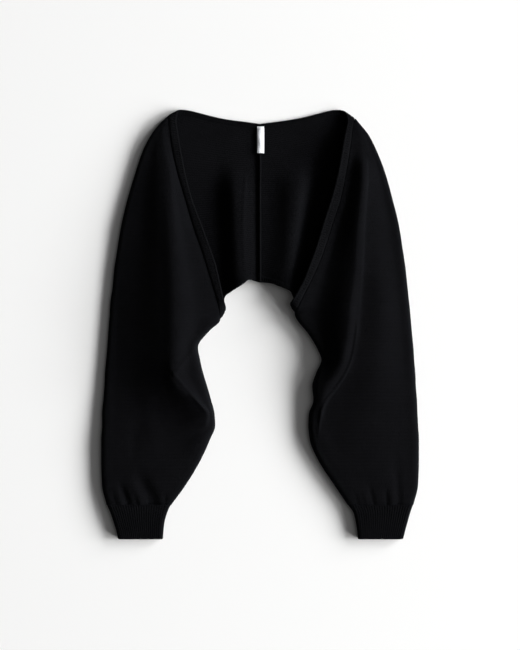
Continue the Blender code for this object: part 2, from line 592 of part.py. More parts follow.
def make_label(side, material):
    # A blank woven label, caught in the neck band and lying over the centre seam.
    over_seam = 0.5 * KNIT_WALL + SEAM_CLEAR + SEAM_WALL + LABEL_CLEAR + 0.5 * LABEL_WALL
    over_band = BAND_WALL - 0.5 * KNIT_WALL + SEAM_GAP + 0.5 * LABEL_WALL
    rows = []
    for i in range(LABEL_ROWS + 1):
        y = LABEL_Y[0] + (LABEL_Y[1] - LABEL_Y[0]) * i / LABEL_ROWS
        t = smooth_step(LABEL_CAUGHT_Y, LABEL_Y[1], y)
        rise = over_seam + (over_band - over_seam) * t
        row = []
        for j in range(LABEL_COLUMNS + 1):
            x = LABEL_X[0] + (LABEL_X[1] - LABEL_X[0]) * j / LABEL_COLUMNS
            drop = LABEL_DROOP * x * x * (1.0 - t)
            row.append(place(side, Vector((x, y, 0.5 * KNIT_WALL + rise - drop))))
        rows.append(row)
    return sheet_object("neck_label", rows, material, LABEL_WALL)


for item in list(bpy.data.objects):
    bpy.data.objects.remove(item, do_unlink=True)
parts = bpy.data.collections.new("knitted_shrug")
bpy.context.scene.collection.children.link(parts)

knit = make_material("black_knit", (0.013, 0.014, 0.017), 0.9)
rib = make_material("black_rib", (0.012, 0.013, 0.016), 0.9)
band = make_material("black_band", (0.014, 0.015, 0.018), 0.88)
white = make_material("white_label", (0.80, 0.82, 0.85), 0.6)

left_half = {
    "name": "left", "sign": -1.0, "sections": LEFT_SECTIONS, "hem": LEFT_HEM, "neck": LEFT_NECK,
    "front_edge": LEFT_FRONT_EDGE, "turn": LEFT_TURN, "flutes": LEFT_FLUTES,
    "gathers": LEFT_GATHERS, "cuff": LEFT_CUFF, "knit": knit, "rib": rib, "band": band,
}
right_half = {
    "name": "right", "sign": 1.0, "sections": RIGHT_SECTIONS, "hem": RIGHT_HEM, "neck": RIGHT_NECK,
    "front_edge": RIGHT_FRONT_EDGE, "turn": RIGHT_TURN, "flutes": RIGHT_FLUTES,
    "gathers": RIGHT_GATHERS, "cuff": RIGHT_CUFF, "knit": knit, "rib": rib, "band": band,
}

for half in (left_half, right_half):
    make_half(half)
    make_cuff(half)
    make_edge_band(half)
    make_hem_band(half)
make_centre_seam(right_half)
make_label(right_half, white)
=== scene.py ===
from collections import namedtuple
from math import ceil, cos, exp, pi, radians, sin, sqrt

import bmesh
import bpy
import numpy as np
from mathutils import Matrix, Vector, noise
from mathutils.geometry import interpolate_bezier


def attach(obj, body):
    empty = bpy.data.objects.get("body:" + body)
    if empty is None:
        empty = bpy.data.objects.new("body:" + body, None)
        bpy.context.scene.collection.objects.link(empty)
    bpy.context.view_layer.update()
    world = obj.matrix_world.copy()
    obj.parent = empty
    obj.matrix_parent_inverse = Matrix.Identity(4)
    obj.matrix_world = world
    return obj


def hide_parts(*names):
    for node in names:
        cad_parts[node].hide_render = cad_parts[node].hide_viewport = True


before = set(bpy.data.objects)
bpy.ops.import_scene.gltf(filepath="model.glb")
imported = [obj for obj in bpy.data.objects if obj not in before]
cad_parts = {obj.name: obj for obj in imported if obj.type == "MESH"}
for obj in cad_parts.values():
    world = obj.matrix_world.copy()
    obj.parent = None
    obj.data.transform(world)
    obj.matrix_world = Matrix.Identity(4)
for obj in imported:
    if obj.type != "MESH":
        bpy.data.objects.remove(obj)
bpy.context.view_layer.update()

# Lengths in the tables are millimetres: x outwards from the centre back, y up to the neck, z off the floor.
mm = 0.001
shiftY = -0.25

# camera, light and floor
studio = {
    "viewWidth": 910.0,  # what the photograph's frame spans across the garment
    "frameShape": 1.25,  # the frame's height over its width
    "cameraHeight": 3200.0,
    "frameCentreY": -1.5,
    "sensor": 36.0,
    "farClip": 50000.0,
    "lampDistance": 20000.0,
    "skyColour": (1.0, 0.99, 0.98),
    "skyStrength": 0.05,
    "groundHalf": 4000.0,
    "groundDrop": 0.3,  # the floor lies this far under the garment, so that the two don't flicker
    "paperColour": (0.93, 0.93, 0.925),
}

# a long low row of soft light on the right, and a weak one overhead; turns run anticlockwise from the right
Lamp = namedtuple("Lamp", "turn elevation size power")
lamps = (
    Lamp(-27.0, 17.5, 7800.0, 3250.0),
    Lamp(1.0, 17.5, 7800.0, 6000.0),
    Lamp(29.0, 17.5, 7800.0, 3450.0),
    Lamp(5.0, 52.0, 20000.0, 380.0),
)


def addObject(name, data):
    thing = bpy.data.objects.new(name, data)
    bpy.context.scene.collection.objects.link(thing)
    return thing


def makeStudio(look):
    camera = addObject("camera", bpy.data.cameras.new("camera"))
    camera.data.sensor_width = look["sensor"]
    camera.data.sensor_fit = "AUTO"
    spanHigh = look["viewWidth"] * look["frameShape"]
    camera.data.lens = look["sensor"] * look["cameraHeight"] / spanHigh
    camera.data.clip_end = look["farClip"] * mm
    camera.location = (0.0, look["frameCentreY"] * mm, look["cameraHeight"] * mm)
    bpy.context.scene.camera = camera

    for i, lamp in enumerate(lamps):
        softbox = addObject(f"softbox_{i}", bpy.data.lights.new(f"softbox_{i}", "AREA"))
        softbox.data.shape = "DISK"
        softbox.data.size = lamp.size * mm
        softbox.data.energy = lamp.power
        rise, turn = radians(lamp.elevation), radians(lamp.turn)
        toward = Vector((cos(rise) * cos(turn), cos(rise) * sin(turn), sin(rise)))
        softbox.location = toward * look["lampDistance"] * mm
        softbox.rotation_euler = toward.to_track_quat("Z", "Y").to_euler()

    sky = bpy.data.worlds.new("studio_air")
    sky.use_nodes = True
    background = sky.node_tree.nodes["Background"]
    background.inputs["Color"].default_value = (*look["skyColour"], 1.0)
    background.inputs["Strength"].default_value = look["skyStrength"]
    bpy.context.scene.world = sky
    bpy.context.scene.view_settings.view_transform = "Standard"

    bm = bmesh.new()
    bmesh.ops.create_grid(bm, x_segments=1, y_segments=1, size=look["groundHalf"] * mm)
    bmesh.ops.translate(bm, verts=bm.verts, vec=(0.0, 0.0, -look["groundDrop"] * mm))
    mesh = bpy.data.meshes.new("paper_ground")
    bm.to_mesh(mesh)
    bm.free()
    paper = bpy.data.materials.new("white_paper")
    paper.use_nodes = True
    shader = paper.node_tree.nodes["Principled BSDF"]
    shader.inputs["Base Color"].default_value = (*look["paperColour"], 1.0)
    shader.inputs["Roughness"].default_value = 1.0
    shader.inputs["Specular IOR Level"].default_value = 0.0
    mesh.materials.append(paper)
    addObject("paper_ground", mesh)


makeStudio(studio)
print("stage: camera, light and floor")

# The garment as it lies: one row per section of a half, from the cuff up to the shoulder point. A section runs
# from the overarm fold, over the sleeve's full part and the standing fold's foot and crest, to the inner edge.
Section = namedtuple(
    "Section",
    "y outer puffX puffZ bodyX bodyZ footX footZ crestX crestZ midX midZ inner innerZ innerY")
Ending = namedtuple("Ending", "y endX endY edgeX edgeY")
FrontEdge = namedtuple("FrontEdge", "y edgeX edgeY edgeZ")
Turn = namedtuple("Turn", "share edgeX edgeY edgeZ")
Flute = namedtuple("Flute", "neckX hemX topY fullY height inward outward")
Crease = namedtuple("Crease", "rise width line inward", defaults=(0.0,))  # inward: width towards the centre
CuffRing = namedtuple("CuffRing", "y outer inner height")

# the low fold that both halves share at the centre back seam
seamFlute = Flute(0.0, 0.0, 290.0, 205.0, 7.5, 42.0, 42.0)

leftHalf = {
    "name": "left",
    "sign": -1.0,
    "sections": (
        Section(-315.2, 267.0, 252.0, 13.0, 236.0, 13.1, 220.0, 13.2, 193.0, 13.2, 172.0, 13.0, 156.0, 7.0, -315.2),
        Section(-281.0, 275.0, 256.0, 13.5, 240.0, 14.0, 220.0, 15.0, 184.0, 16.5, 156.0, 16.0, 131.0, 7.5, -281.0),
        Section(-238.0, 276.5, 256.0, 13.5, 236.0, 14.5, 200.0, 16.5, 150.0, 17.0, 122.0, 17.0, 105.0, 8.0, -238.0),
        Section(-203.0, 276.5, 255.0, 13.5, 234.0, 14.3, 195.0, 16.0, 130.0, 17.5, 104.0, 20.5, 89.0, 8.0, -203.0),
        Section(-176.0, 275.0, 253.0, 12.5, 232.0, 14.0, 150.0, 17.5, 97.0, 25.0, 88.0, 21.5, 79.0, 8.5, -176.0),
        Section(-157.0, 275.0, 252.0, 12.0, 226.0, 14.5, 140.0, 22.0, 93.0, 32.0, 87.0, 25.5, 80.0, 9.5, -157.0),
        Section(-133.0, 273.0, 251.0, 11.5, 218.0, 15.0, 160.0, 26.0, 112.0, 39.5, 100.5, 30.0, 86.0, 10.5, -133.0),
        Section(-108.0, 271.0, 249.0, 11.0, 213.0, 16.8, 165.0, 31.0, 139.0, 40.5, 114.0, 28.5, 93.0, 11.0, -108.0),
        Section(-85.0, 270.0, 248.0, 10.5, 212.0, 18.0, 166.0, 34.5, 149.0, 41.0, 124.0, 29.5, 100.0, 11.0, -85.0),
        Section(-63.0, 268.0, 248.0, 10.5, 212.0, 19.0, 168.0, 35.0, 147.5, 41.0, 124.0, 30.0, 105.0, 11.5, -63.0),
        Section(-40.0, 266.0, 248.0, 10.5, 212.0, 20.0, 170.0, 34.5, 146.0, 41.0, 125.0, 31.0, 109.0, 12.0, -40.0),
        Section(-10.0, 264.0, 248.0, 10.5, 212.0, 19.5, 170.0, 34.0, 145.0, 40.5, 112.0, 27.0, 88.0, 10.0, -10.0),
        Section(8.0, 262.5, 247.0, 10.5, 212.0, 19.5, 170.0, 34.0, 145.0, 40.5, 107.0, 24.5, 70.0, 8.0, 8.0),
        Section(13.0, 262.0, 247.0, 10.5, 212.0, 19.5, 170.0, 34.0, 145.0, 40.5, 107.0, 24.5, 70.5, 14.0, 13.0),
        Section(34.0, 261.0, 246.5, 10.5, 211.0, 18.5, 170.0, 33.5, 145.0, 40.0, 108.0, 25.0, 74.0, 17.5, 34.0),
        Section(63.0, 257.0, 243.0, 11.0, 210.0, 17.5, 171.0, 32.5, 145.0, 39.0, 113.0, 25.0, 82.0, 18.0, 63.0),
        Section(95.0, 254.0, 240.0, 11.5, 209.0, 16.0, 172.0, 30.5, 147.0, 36.5, 119.0, 24.0, 92.0, 17.0, 95.0),
        Section(121.0, 250.0, 237.0, 11.5, 207.0, 15.5, 173.0, 28.5, 149.0, 34.5, 125.0, 22.5, 100.0, 15.0, 121.0),
        Section(170.0, 242.0, 229.0, 11.5, 203.0, 14.5, 174.0, 25.5, 151.5, 30.5, 135.0, 20.5, 117.0, 12.0, 170.0),
        Section(217.0, 231.0, 219.0, 11.5, 199.0, 14.0, 175.0, 22.5, 155.0, 26.0, 143.0, 19.0, 131.0, 12.0, 217.0),
        Section(261.0, 218.0, 208.0, 11.0, 194.0, 13.0, 175.0, 19.0, 158.0, 21.0, 151.0, 17.0, 144.0, 11.5, 261.0),
        Section(305.0, 203.0, 194.5, 11.0, 187.0, 12.0, 178.0, 14.5, 167.0, 16.0, 160.0, 14.0, 154.0, 11.0, 305.0),
        Section(332.0, 188.5, 182.0, 11.2, 179.0, 11.6, 176.0, 12.0, 169.5, 13.0, 163.5, 11.8, 158.0, 10.5, 332.0),
        Section(348.0, 176.5, 173.0, 10.2, 171.5, 10.6, 170.0, 10.9, 166.0, 11.1, 162.5, 10.6, 159.0, 10.0, 348.0),
        Section(361.5, 163.5, 162.6, 8.5, 162.2, 8.8, 161.8, 9.0, 161.0, 9.2, 160.2, 9.1, 159.5, 9.0, 357.0),
    ),
    "hem": (
        Ending(8.0, 70.0, 8.0, 60.0, 27.0),
        Ending(15.0, 72.0, 20.0, 61.0, 33.0),
        Ending(24.0, 73.0, 32.0, 62.0, 38.0),
        Ending(34.0, 72.5, 44.0, 62.5, 43.0),
        Ending(47.0, 68.0, 56.0, 60.0, 50.0),
        Ending(60.0, 58.0, 65.0, 50.0, 57.0),
        Ending(77.0, 45.0, 72.5, 39.0, 64.0),
        Ending(95.0, 33.0, 79.0, 28.0, 71.0),
        Ending(110.0, 22.0, 84.0, 19.0, 78.0),
        Ending(125.0, 11.0, 86.0, 10.0, 75.5),
        Ending(140.0, 0.25, 86.5, 0.7, 73.0),
    ),
    "neck": (
        Ending(305.0, 0.15, 340.5, 0.15, 350.5),
        Ending(313.0, 24.0, 344.0, 24.0, 354.0),
        Ending(322.0, 49.5, 347.5, 49.0, 357.0),
        Ending(331.0, 74.0, 351.5, 72.0, 361.0),
        Ending(340.0, 102.0, 358.5, 100.0, 368.0),
        Ending(348.0, 123.0, 363.5, 122.0, 373.5),
        Ending(355.0, 140.0, 364.5, 132.0, 375.0),
        Ending(361.5, 155.0, 362.0, 138.0, 375.2),
    ),
    "frontEdge": (
        FrontEdge(8.0, 60.0, 27.0, 8.0),
        FrontEdge(15.0, 59.5, 30.0, 13.0),
        FrontEdge(24.0, 60.5, 35.0, 16.0),
        FrontEdge(34.0, 62.5, 41.0, 17.5),
        FrontEdge(63.0, 68.5, 69.0, 17.5),
        FrontEdge(95.0, 76.0, 101.0, 16.0),
        FrontEdge(121.0, 85.0, 128.0, 14.0),
        FrontEdge(170.0, 102.5, 176.0, 12.0),
        FrontEdge(217.0, 119.5, 222.0, 11.0),
        FrontEdge(261.0, 130.5, 265.0, 10.5),
        FrontEdge(305.0, 138.5, 307.0, 10.0),
        FrontEdge(332.0, 142.5, 333.0, 9.8),
        FrontEdge(348.0, 145.0, 347.0, 9.5),
        FrontEdge(361.5, 146.0, 354.5, 9.3),
    ),
    "turn": (Turn(0.5, 145.0, 366.0, 8.6), Turn(1.0, 143.0, 373.8, 5.6)),
    "flutes": (seamFlute, Flute(45.0, 35.0, 305.0, 215.0, 14.5, 45.0, 36.0)),
    "cuff": (
        CuffRing(-316.0, 267.0, 156.0, 14.0),
        CuffRing(-329.0, 261.5, 162.0, 14.0),
        CuffRing(-345.0, 256.0, 166.5, 13.5),
        CuffRing(-361.0, 251.0, 168.5, 13.0),
        CuffRing(-375.0, 248.0, 169.5, 12.5),
    ),
    # gathers over the cuff first, then the long creases of the sleeve and the front
    "creases": (
        Crease(-2.8, 10.0, ((226.0, -326.0), (233.0, -302.0), (247.0, -272.0))),
        Crease(-4.5, 18.0, ((181.0, -326.0), (187.0, -306.0), (199.0, -285.0), (211.0, -265.0), (219.0, -246.0))),
        Crease(-1.8, 6.0, ((163.0, -326.0), (165.0, -308.0), (168.0, -290.0))),
        Crease(0.8, 6.0, ((238.0, -326.0), (246.0, -295.0), (258.0, -272.0))),
        Crease(1.0, 7.0, ((205.0, -326.0), (213.0, -292.0), (230.0, -268.0))),
        Crease(-1.4, 4.5, ((194.0, -326.0), (195.0, -308.0), (198.0, -298.0))),
        Crease(-1.2, 5.0, ((212.0, -326.0), (214.0, -308.0), (219.0, -296.0))),
        Crease(-1.0, 4.5, ((249.0, -326.0), (254.0, -303.0), (260.0, -292.0))),
        Crease(-1.2, 16.0, ((214.0, -165.0), (220.0, -205.0), (220.0, -244.0))),
        Crease(1.0, 14.0, ((196.0, -120.0), (190.0, -175.0), (182.0, -240.0))),
        Crease(2.4, 3.5, ((152.0, -90.0), (131.0, -64.0), (106.0, -34.0))),
        Crease(2.4, 3.5, ((155.0, -78.0), (138.0, -100.0), (113.0, -128.0), (86.0, -158.0), (74.0, -172.0))),
    ),
    "backCreases": (
        Crease(1.3, 3.5, ((24.5, 262.0), (28.0, 225.0), (29.5, 180.0), (28.5, 130.0), (24.0, 72.0))),
        Crease(1.8, 7.0, ((224.0, -326.0), (230.0, -292.0), (244.0, -270.0))),
        Crease(2.0, 7.0, ((200.0, -326.0), (201.0, -290.0), (206.0, -262.0))),
        Crease(1.5, 6.0, ((176.0, -326.0), (172.0, -294.0), (162.0, -276.0))),
        Crease(1.3, 12.0, ((120.0, -150.0), (165.0, -120.0), (215.0, -112.0))),
        Crease(1.2, 13.0, ((105.0, -60.0), (150.0, -20.0), (205.0, 0.0))),
    ),
}

rightHalf = {
    "name": "right",
    "sign": 1.0,
    "sections": (
        Section(-315.2, 267.0, 252.0, 13.0, 225.0, 13.3, 200.0, 13.3, 185.0, 13.2, 172.0, 13.0, 154.0, 7.0, -315.2),
        Section(-281.0, 275.0, 257.0, 15.0, 222.0, 17.5, 185.0, 16.5, 165.0, 16.0, 150.0, 15.0, 131.0, 7.5, -281.0),
        Section(-238.0, 276.5, 257.0, 16.5, 200.0, 19.5, 150.0, 17.0, 132.0, 16.0, 120.0, 15.0, 103.0, 7.5, -238.0),
        Section(-203.0, 276.5, 256.0, 17.5, 190.0, 21.5, 130.0, 17.0, 113.0, 16.5, 103.0, 15.5, 88.0, 7.5, -203.0),
        Section(-176.0, 275.0, 255.0, 18.5, 195.0, 23.5, 118.0, 17.0, 105.0, 16.5, 97.0, 16.0, 85.0, 8.0, -176.0),
        Section(-157.0, 274.0, 254.0, 19.0, 200.0, 24.0, 115.0, 16.5, 106.0, 18.0, 98.0, 17.0, 86.0, 8.0, -157.0),
        Section(-133.0, 273.0, 253.0, 20.0, 200.0, 25.5, 123.0, 18.5, 109.0, 21.5, 102.0, 20.0, 94.0, 8.0, -133.0),
        Section(-108.0, 271.0, 251.0, 21.0, 200.0, 27.0, 139.0, 21.5, 118.0, 25.5, 103.0, 22.0, 92.0, 8.5, -108.0),
        Section(-85.0, 270.0, 249.0, 21.5, 202.0, 29.5, 152.5, 26.0, 134.0, 29.5, 112.0, 21.5, 99.0, 8.5, -85.0),
        Section(-62.0, 268.0, 248.0, 22.0, 204.0, 31.5, 160.0, 29.5, 142.0, 33.5, 119.0, 20.5, 108.0, 8.0, -62.0),
        Section(-45.0, 267.0, 247.0, 22.5, 206.0, 32.0, 163.0, 31.0, 145.0, 36.0, 116.0, 20.5, 102.0, 8.5, -45.0),
        Section(-19.0, 264.5, 245.0, 23.0, 208.0, 32.5, 168.0, 31.5, 150.0, 38.0, 110.0, 20.0, 87.0, 10.0, -19.0),
        Section(20.0, 261.0, 243.0, 23.0, 210.0, 32.5, 171.5, 31.5, 153.0, 38.5, 104.0, 20.0, 61.0, 13.5, 20.0),
        Section(26.0, 260.5, 242.0, 23.0, 210.0, 32.5, 172.0, 31.5, 153.5, 38.5, 104.0, 20.5, 64.5, 24.5, 26.0),
        Section(40.0, 259.0, 241.0, 22.5, 210.0, 32.0, 174.0, 31.5, 155.5, 38.5, 107.0, 21.0, 71.0, 26.0, 40.0),
        Section(69.0, 256.0, 237.0, 20.5, 207.0, 29.0, 177.0, 29.5, 159.0, 35.5, 113.0, 20.0, 86.0, 24.5, 69.0),
        Section(95.0, 253.5, 235.0, 16.5, 206.0, 24.8, 180.0, 28.0, 162.5, 33.0, 119.0, 18.5, 98.5, 22.5, 95.0),
        Section(130.0, 248.5, 231.0, 13.5, 205.0, 20.8, 181.5, 25.5, 165.5, 30.5, 129.0, 17.5, 112.5, 20.5, 130.0),
        Section(174.0, 241.5, 225.0, 11.5, 204.0, 18.0, 185.0, 23.0, 169.0, 28.5, 141.0, 17.0, 126.5, 19.0, 174.0),
        Section(217.0, 231.0, 217.0, 10.5, 202.0, 15.8, 188.0, 20.5, 174.0, 26.0, 152.0, 17.3, 140.5, 18.0, 217.0),
        Section(261.0, 219.0, 208.5, 10.3, 200.0, 13.8, 190.0, 18.0, 178.0, 23.0, 160.0, 16.8, 150.0, 16.5, 261.0),
        Section(305.0, 202.0, 195.0, 11.5, 191.0, 12.5, 186.0, 14.2, 176.0, 16.0, 165.0, 15.4, 157.0, 15.2, 305.0),
        Section(332.0, 188.0, 183.0, 11.3, 181.0, 11.8, 178.0, 12.5, 172.5, 13.2, 166.5, 12.9, 161.0, 12.5, 332.0),
        Section(347.0, 176.0, 173.5, 10.2, 172.5, 10.5, 171.5, 10.8, 169.0, 11.0, 166.0, 10.8, 163.0, 10.5, 346.0),
        Section(358.5, 166.5, 165.8, 8.5, 165.6, 8.8, 165.3, 9.0, 164.8, 9.3, 164.4, 9.3, 164.0, 9.2, 353.0),
    ),
    "hem": (
        Ending(20.0, 61.0, 20.0, 53.5, 34.0),
        Ending(27.0, 65.0, 31.0, 57.0, 38.5),
        Ending(36.0, 68.0, 42.0, 59.0, 43.0),
        Ending(47.0, 67.0, 53.0, 57.5, 48.5),
        Ending(60.0, 60.0, 64.0, 53.0, 57.5),
        Ending(77.0, 47.0, 71.5, 42.5, 62.5),
        Ending(95.0, 34.0, 77.0, 31.0, 67.0),
        Ending(110.0, 22.0, 81.0, 20.5, 71.0),
        Ending(125.0, 11.0, 84.0, 10.0, 72.5),
        Ending(140.0, 0.15, 86.5, 0.15, 73.0),
    ),
    "neck": (
        Ending(305.0, 0.15, 340.5, 0.15, 350.5),
        Ending(313.0, 24.0, 343.5, 24.0, 353.5),
        Ending(322.0, 49.5, 347.5, 49.0, 357.0),
        Ending(331.0, 74.0, 351.5, 72.0, 361.0),
        Ending(340.0, 102.0, 358.5, 100.0, 368.0),
        Ending(347.0, 124.0, 363.5, 122.0, 373.5),
        Ending(353.0, 142.0, 362.5, 132.0, 375.0),
        Ending(358.5, 157.0, 359.0, 138.5, 375.0),
    ),
    "frontEdge": (
        FrontEdge(20.0, 53.5, 34.0, 14.0),
        FrontEdge(27.0, 52.5, 37.0, 23.0),
        FrontEdge(33.0, 55.0, 41.0, 27.5),
        FrontEdge(40.0, 59.0, 47.0, 28.5),
        FrontEdge(69.0, 74.5, 75.5, 24.5),
        FrontEdge(95.0, 85.0, 101.5, 24.0),
        FrontEdge(130.0, 97.5, 135.5, 22.5),
        FrontEdge(174.0, 111.0, 180.0, 21.0),
        FrontEdge(217.0, 124.5, 222.0, 20.0),
        FrontEdge(261.0, 135.5, 264.5, 19.0),
        FrontEdge(305.0, 143.0, 307.0, 17.5),
        FrontEdge(332.0, 148.0, 334.0, 14.0),
        FrontEdge(347.0, 151.0, 348.0, 11.0),
        FrontEdge(358.5, 152.0, 355.5, 9.7),
    ),
    "turn": (Turn(0.5, 151.0, 365.0, 8.8), Turn(1.0, 146.0, 372.8, 5.6)),
    "flutes": (seamFlute, Flute(72.0, 47.0, 305.0, 215.0, 17.5, 62.0, 32.0)),
    "cuff": (
        CuffRing(-316.0, 267.0, 154.0, 14.0),
        CuffRing(-329.0, 262.5, 163.0, 14.0),
        CuffRing(-345.0, 258.0, 167.0, 13.5),
        CuffRing(-361.0, 253.5, 169.5, 13.0),
        CuffRing(-375.0, 250.0, 171.0, 12.5),
    ),
    # as on the left: gathers over the cuff, then the crest of the front's fold in two stretches
    "creases": (
        Crease(-2.4, 9.0, ((243.0, -326.0), (241.0, -290.0), (236.0, -245.0), (234.0, -220.0))),
        Crease(-1.8, 5.5, ((221.0, -326.0), (220.5, -300.0), (218.0, -280.0))),
        Crease(-1.8, 6.5, ((201.0, -326.0), (196.0, -303.0), (189.0, -276.0))),
        Crease(0.9, 5.0, ((231.0, -326.0), (230.0, -298.0), (227.0, -276.0))),
        Crease(0.8, 6.0, ((188.0, -326.0), (184.0, -298.0), (176.0, -284.0))),
        Crease(-1.0, 5.0, ((172.0, -326.0), (168.0, -300.0), (161.0, -290.0))),
        Crease(2.2, 5.0, ((185.0, 290.0), (185.0, 252.0), (182.0, 217.0), (179.0, 182.0), (176.5, 100.0),
                          (170.5, 25.0), (164.5, -35.0)), inward=24.0),
        Crease(1.9, 3.8, ((169.0, 8.0), (165.0, -33.0), (156.0, -72.0), (136.0, -106.0), (113.5, -133.0),
                          (107.5, -148.0), (102.5, -178.0), (101.0, -205.0))),
    ),
    "backCreases": (
        Crease(1.8, 7.0, ((236.0, -326.0), (240.0, -290.0), (247.0, -266.0))),
        Crease(2.0, 7.0, ((210.0, -326.0), (208.0, -290.0), (206.0, -258.0))),
        Crease(1.5, 6.0, ((182.0, -326.0), (178.0, -292.0), (168.0, -272.0))),
        Crease(1.3, 12.0, ((112.0, -120.0), (160.0, -105.0), (214.0, -110.0))),
        Crease(1.2, 13.0, ((100.0, -40.0), (150.0, -10.0), (210.0, -5.0))),
    ),
}


def curveValue(keys, values, at):
    steps = np.diff(keys)
    slopes = np.diff(values) / steps
    tangents = np.empty(len(keys))
    tangents[0] = slopes[0]
    tangents[-1] = slopes[-1]
    for i in range(1, len(keys) - 1):
        before, after = slopes[i - 1], slopes[i]
        tangents[i] = 2.0 * before * after / (before + after) if before * after > 0.0 else 0.0
    i = int(np.clip(np.searchsorted(keys, at) - 1, 0, len(steps) - 1))
    t = (at - keys[i]) / steps[i]
    rise = steps[i] * (tangents[i] * t * (1.0 - t) ** 2 - tangents[i + 1] * t * t * (1.0 - t))
    return float(values[i] + (values[i + 1] - values[i]) * t * t * (3.0 - 2.0 * t) + rise)


def tableRow(table, y):
    keys = [row.y for row in table]
    return type(table[0])(y, *(curveValue(keys, column, y) for column in list(zip(*table))[1:]))


def smoothStep(low, high, value):
    t = min(max((value - low) / (high - low), 0.0), 1.0)
    return t * t * (3.0 - 2.0 * t)


def bump(distance, halfWidth):
    return 0.5 * (1.0 + cos(pi * distance / halfWidth)) if abs(distance) < halfWidth else 0.0


def rollUp(distance, reach):
    t = min(max(1.0 - distance / reach, 0.0), 1.0)  # 1 at a folded edge, 0 once the layer lies flat
    return 1.0 - sqrt(1.0 - t * t)


knitWall = 1.8
bandWall = 2.6
mergeReach = 0.00000005  # metres

# how the knitted halves bend at their edges, and how finely they are drawn
halfLook = {
    "frontSpans": (5, 6, 8, 10, 13, 12, 9, 4),
    "backSteps": (0.0, 0.012, 0.03, 0.18, 0.34, 0.47, 0.55, 0.62, 0.68, 0.735,
                  0.785, 0.83, 0.875, 0.915, 0.955, 0.985, 1.0),
    "backFine": 4,
    "rowStep": 5.0,
    "roll": 6.0,  # reach of the bend from the overarm fold into the back, at most this share of its width
    "rollShare": 0.3,
    "shoulder": 4.5,  # reach of the bend at the front's two edges, its share and how full it is
    "shoulderShare": 0.4,
    "shoulderFull": 0.8,
    "closedFull": 0.75,  # how full the inner edge is where the underarm seam closes it
    "edgeDip": 6.0,
    "parting": 5.0,  # over this height front and back part above the underarm
    "fluteFootY": 75.0,
    "cuffJoinY": -316.0,
    "swayScale": (0.021, 0.013),
    "swayStart": 3.0,
    "unevenFront": 0.9,
    "unevenBack": 0.5,
    "calmFront": 6.0,  # points over which the unevenness fades in from a front's or back's edge
    "calmBack": 10.0,
    "calmCuff": 12.0,  # the same above the cuff, in millimetres
    "flat": (0.47, 0.75),
}


def backHeight(side, x, y):
    z = 0.5 * knitWall
    for flute in side["flutes"]:
        grown = 1.0 - smoothStep(flute.fullY, flute.topY, y)
        drift = min(max((flute.topY - y) / (flute.topY - halfLook["fluteFootY"]), 0.0), 1.0)
        line = flute.neckX + (flute.hemX - flute.neckX) * drift
        reach = min(flute.inward, line) if x < line else flute.outward
        z += flute.height * grown * bump(x - line, reach)
    return z


def sectionCurve(knots, spans, before, after):
    ring = [before] + knots + [after]
    points = [knots[0]]
    for i, count in enumerate(spans):
        start, end = ring[i + 1], ring[i + 2]
        reach = (end - start).length / 3.0
        leave = (end - ring[i]).normalized() * reach
        arrive = (ring[i + 3] - start).normalized() * reach
        points += interpolate_bezier(start, start + leave, end - arrive, end, count + 1)[1:]
    return points


def closedShare(side, y):
    underarm = side["hem"][0].y
    return 1.0 - smoothStep(underarm, underarm + halfLook["parting"], y)


def backEnd(side, y):
    hem, neck = side["hem"], side["neck"]
    if y <= hem[0].y:
        row = tableRow(side["sections"], y)
        return Vector((row.inner, row.innerY))
    if y <= hem[-1].y:
        row = tableRow(hem, y)
    elif y >= neck[0].y:
        row = tableRow(neck, y)
    else:
        t = (y - hem[-1].y) / (neck[0].y - hem[-1].y)
        return Vector((hem[-1].endX, hem[-1].endY + (neck[0].endY - hem[-1].endY) * t))
    return Vector((row.endX, row.endY))


def frontPoints(side, y):
    row = tableRow(side["sections"], y)
    outerZ = 0.5 * (row.puffZ + 0.5 * knitWall)
    edge = min(halfLook["shoulder"], halfLook["shoulderShare"] * (row.outer - row.puffX))
    inner = min(halfLook["shoulder"], halfLook["shoulderShare"] * (row.midX - row.inner))
    straight = inner / max(row.midX - row.inner, 1.0)
    share = straight + (halfLook["closedFull"] - straight) * closedShare(side, y)
    knots = [
        (row.outer, outerZ),
        (row.outer - edge, outerZ + halfLook["shoulderFull"] * (row.puffZ - outerZ)),
        (row.puffX, row.puffZ),
        (row.bodyX, row.bodyZ),
        (row.footX, row.footZ),
        (row.crestX, row.crestZ),
        (row.midX, row.midZ),
        (row.inner + inner, row.innerZ + share * (row.midZ - row.innerZ)),
        (row.inner, row.innerZ),
    ]
    width = max(row.outer - row.inner, 1.0)
    knots = [Vector((x, y + (row.innerY - y) * (row.outer - x) / width, z)) for x, z in knots]
    below = Vector((0.0, 0.0, -halfLook["edgeDip"]))
    onward = (knots[-1] - knots[-2]).lerp(below, closedShare(side, y))
    return sectionCurve(knots, halfLook["frontSpans"], knots[0] + below, knots[-1] + onward)


def backPoints(side, y, fold, weld):
    end = backEnd(side, y)
    start = Vector((fold.x, fold.y))
    width = (end - start).length
    reach = min(halfLook["roll"], halfLook["rollShare"] * width)
    closed = closedShare(side, y)
    coarse = halfLook["backSteps"]
    fine = halfLook["backFine"]
    steps = np.interp(np.arange(1, (len(coarse) - 1) * fine + 1) / fine, np.arange(len(coarse)), coarse)
    points = []
    for step in steps:
        spot = start.lerp(end, float(step))
        z = backHeight(side, spot.x, spot.y)
        z += (fold.z - z) * rollUp(step * width, reach)
        z += (weld.z - z) * rollUp((1.0 - step) * width, reach) * closed
        points.append(Vector((spot.x, spot.y, z)))
    return points


def sectionPoints(side, y):
    front = frontPoints(side, y)
    return front[::-1] + backPoints(side, y, front[0], front[-1])


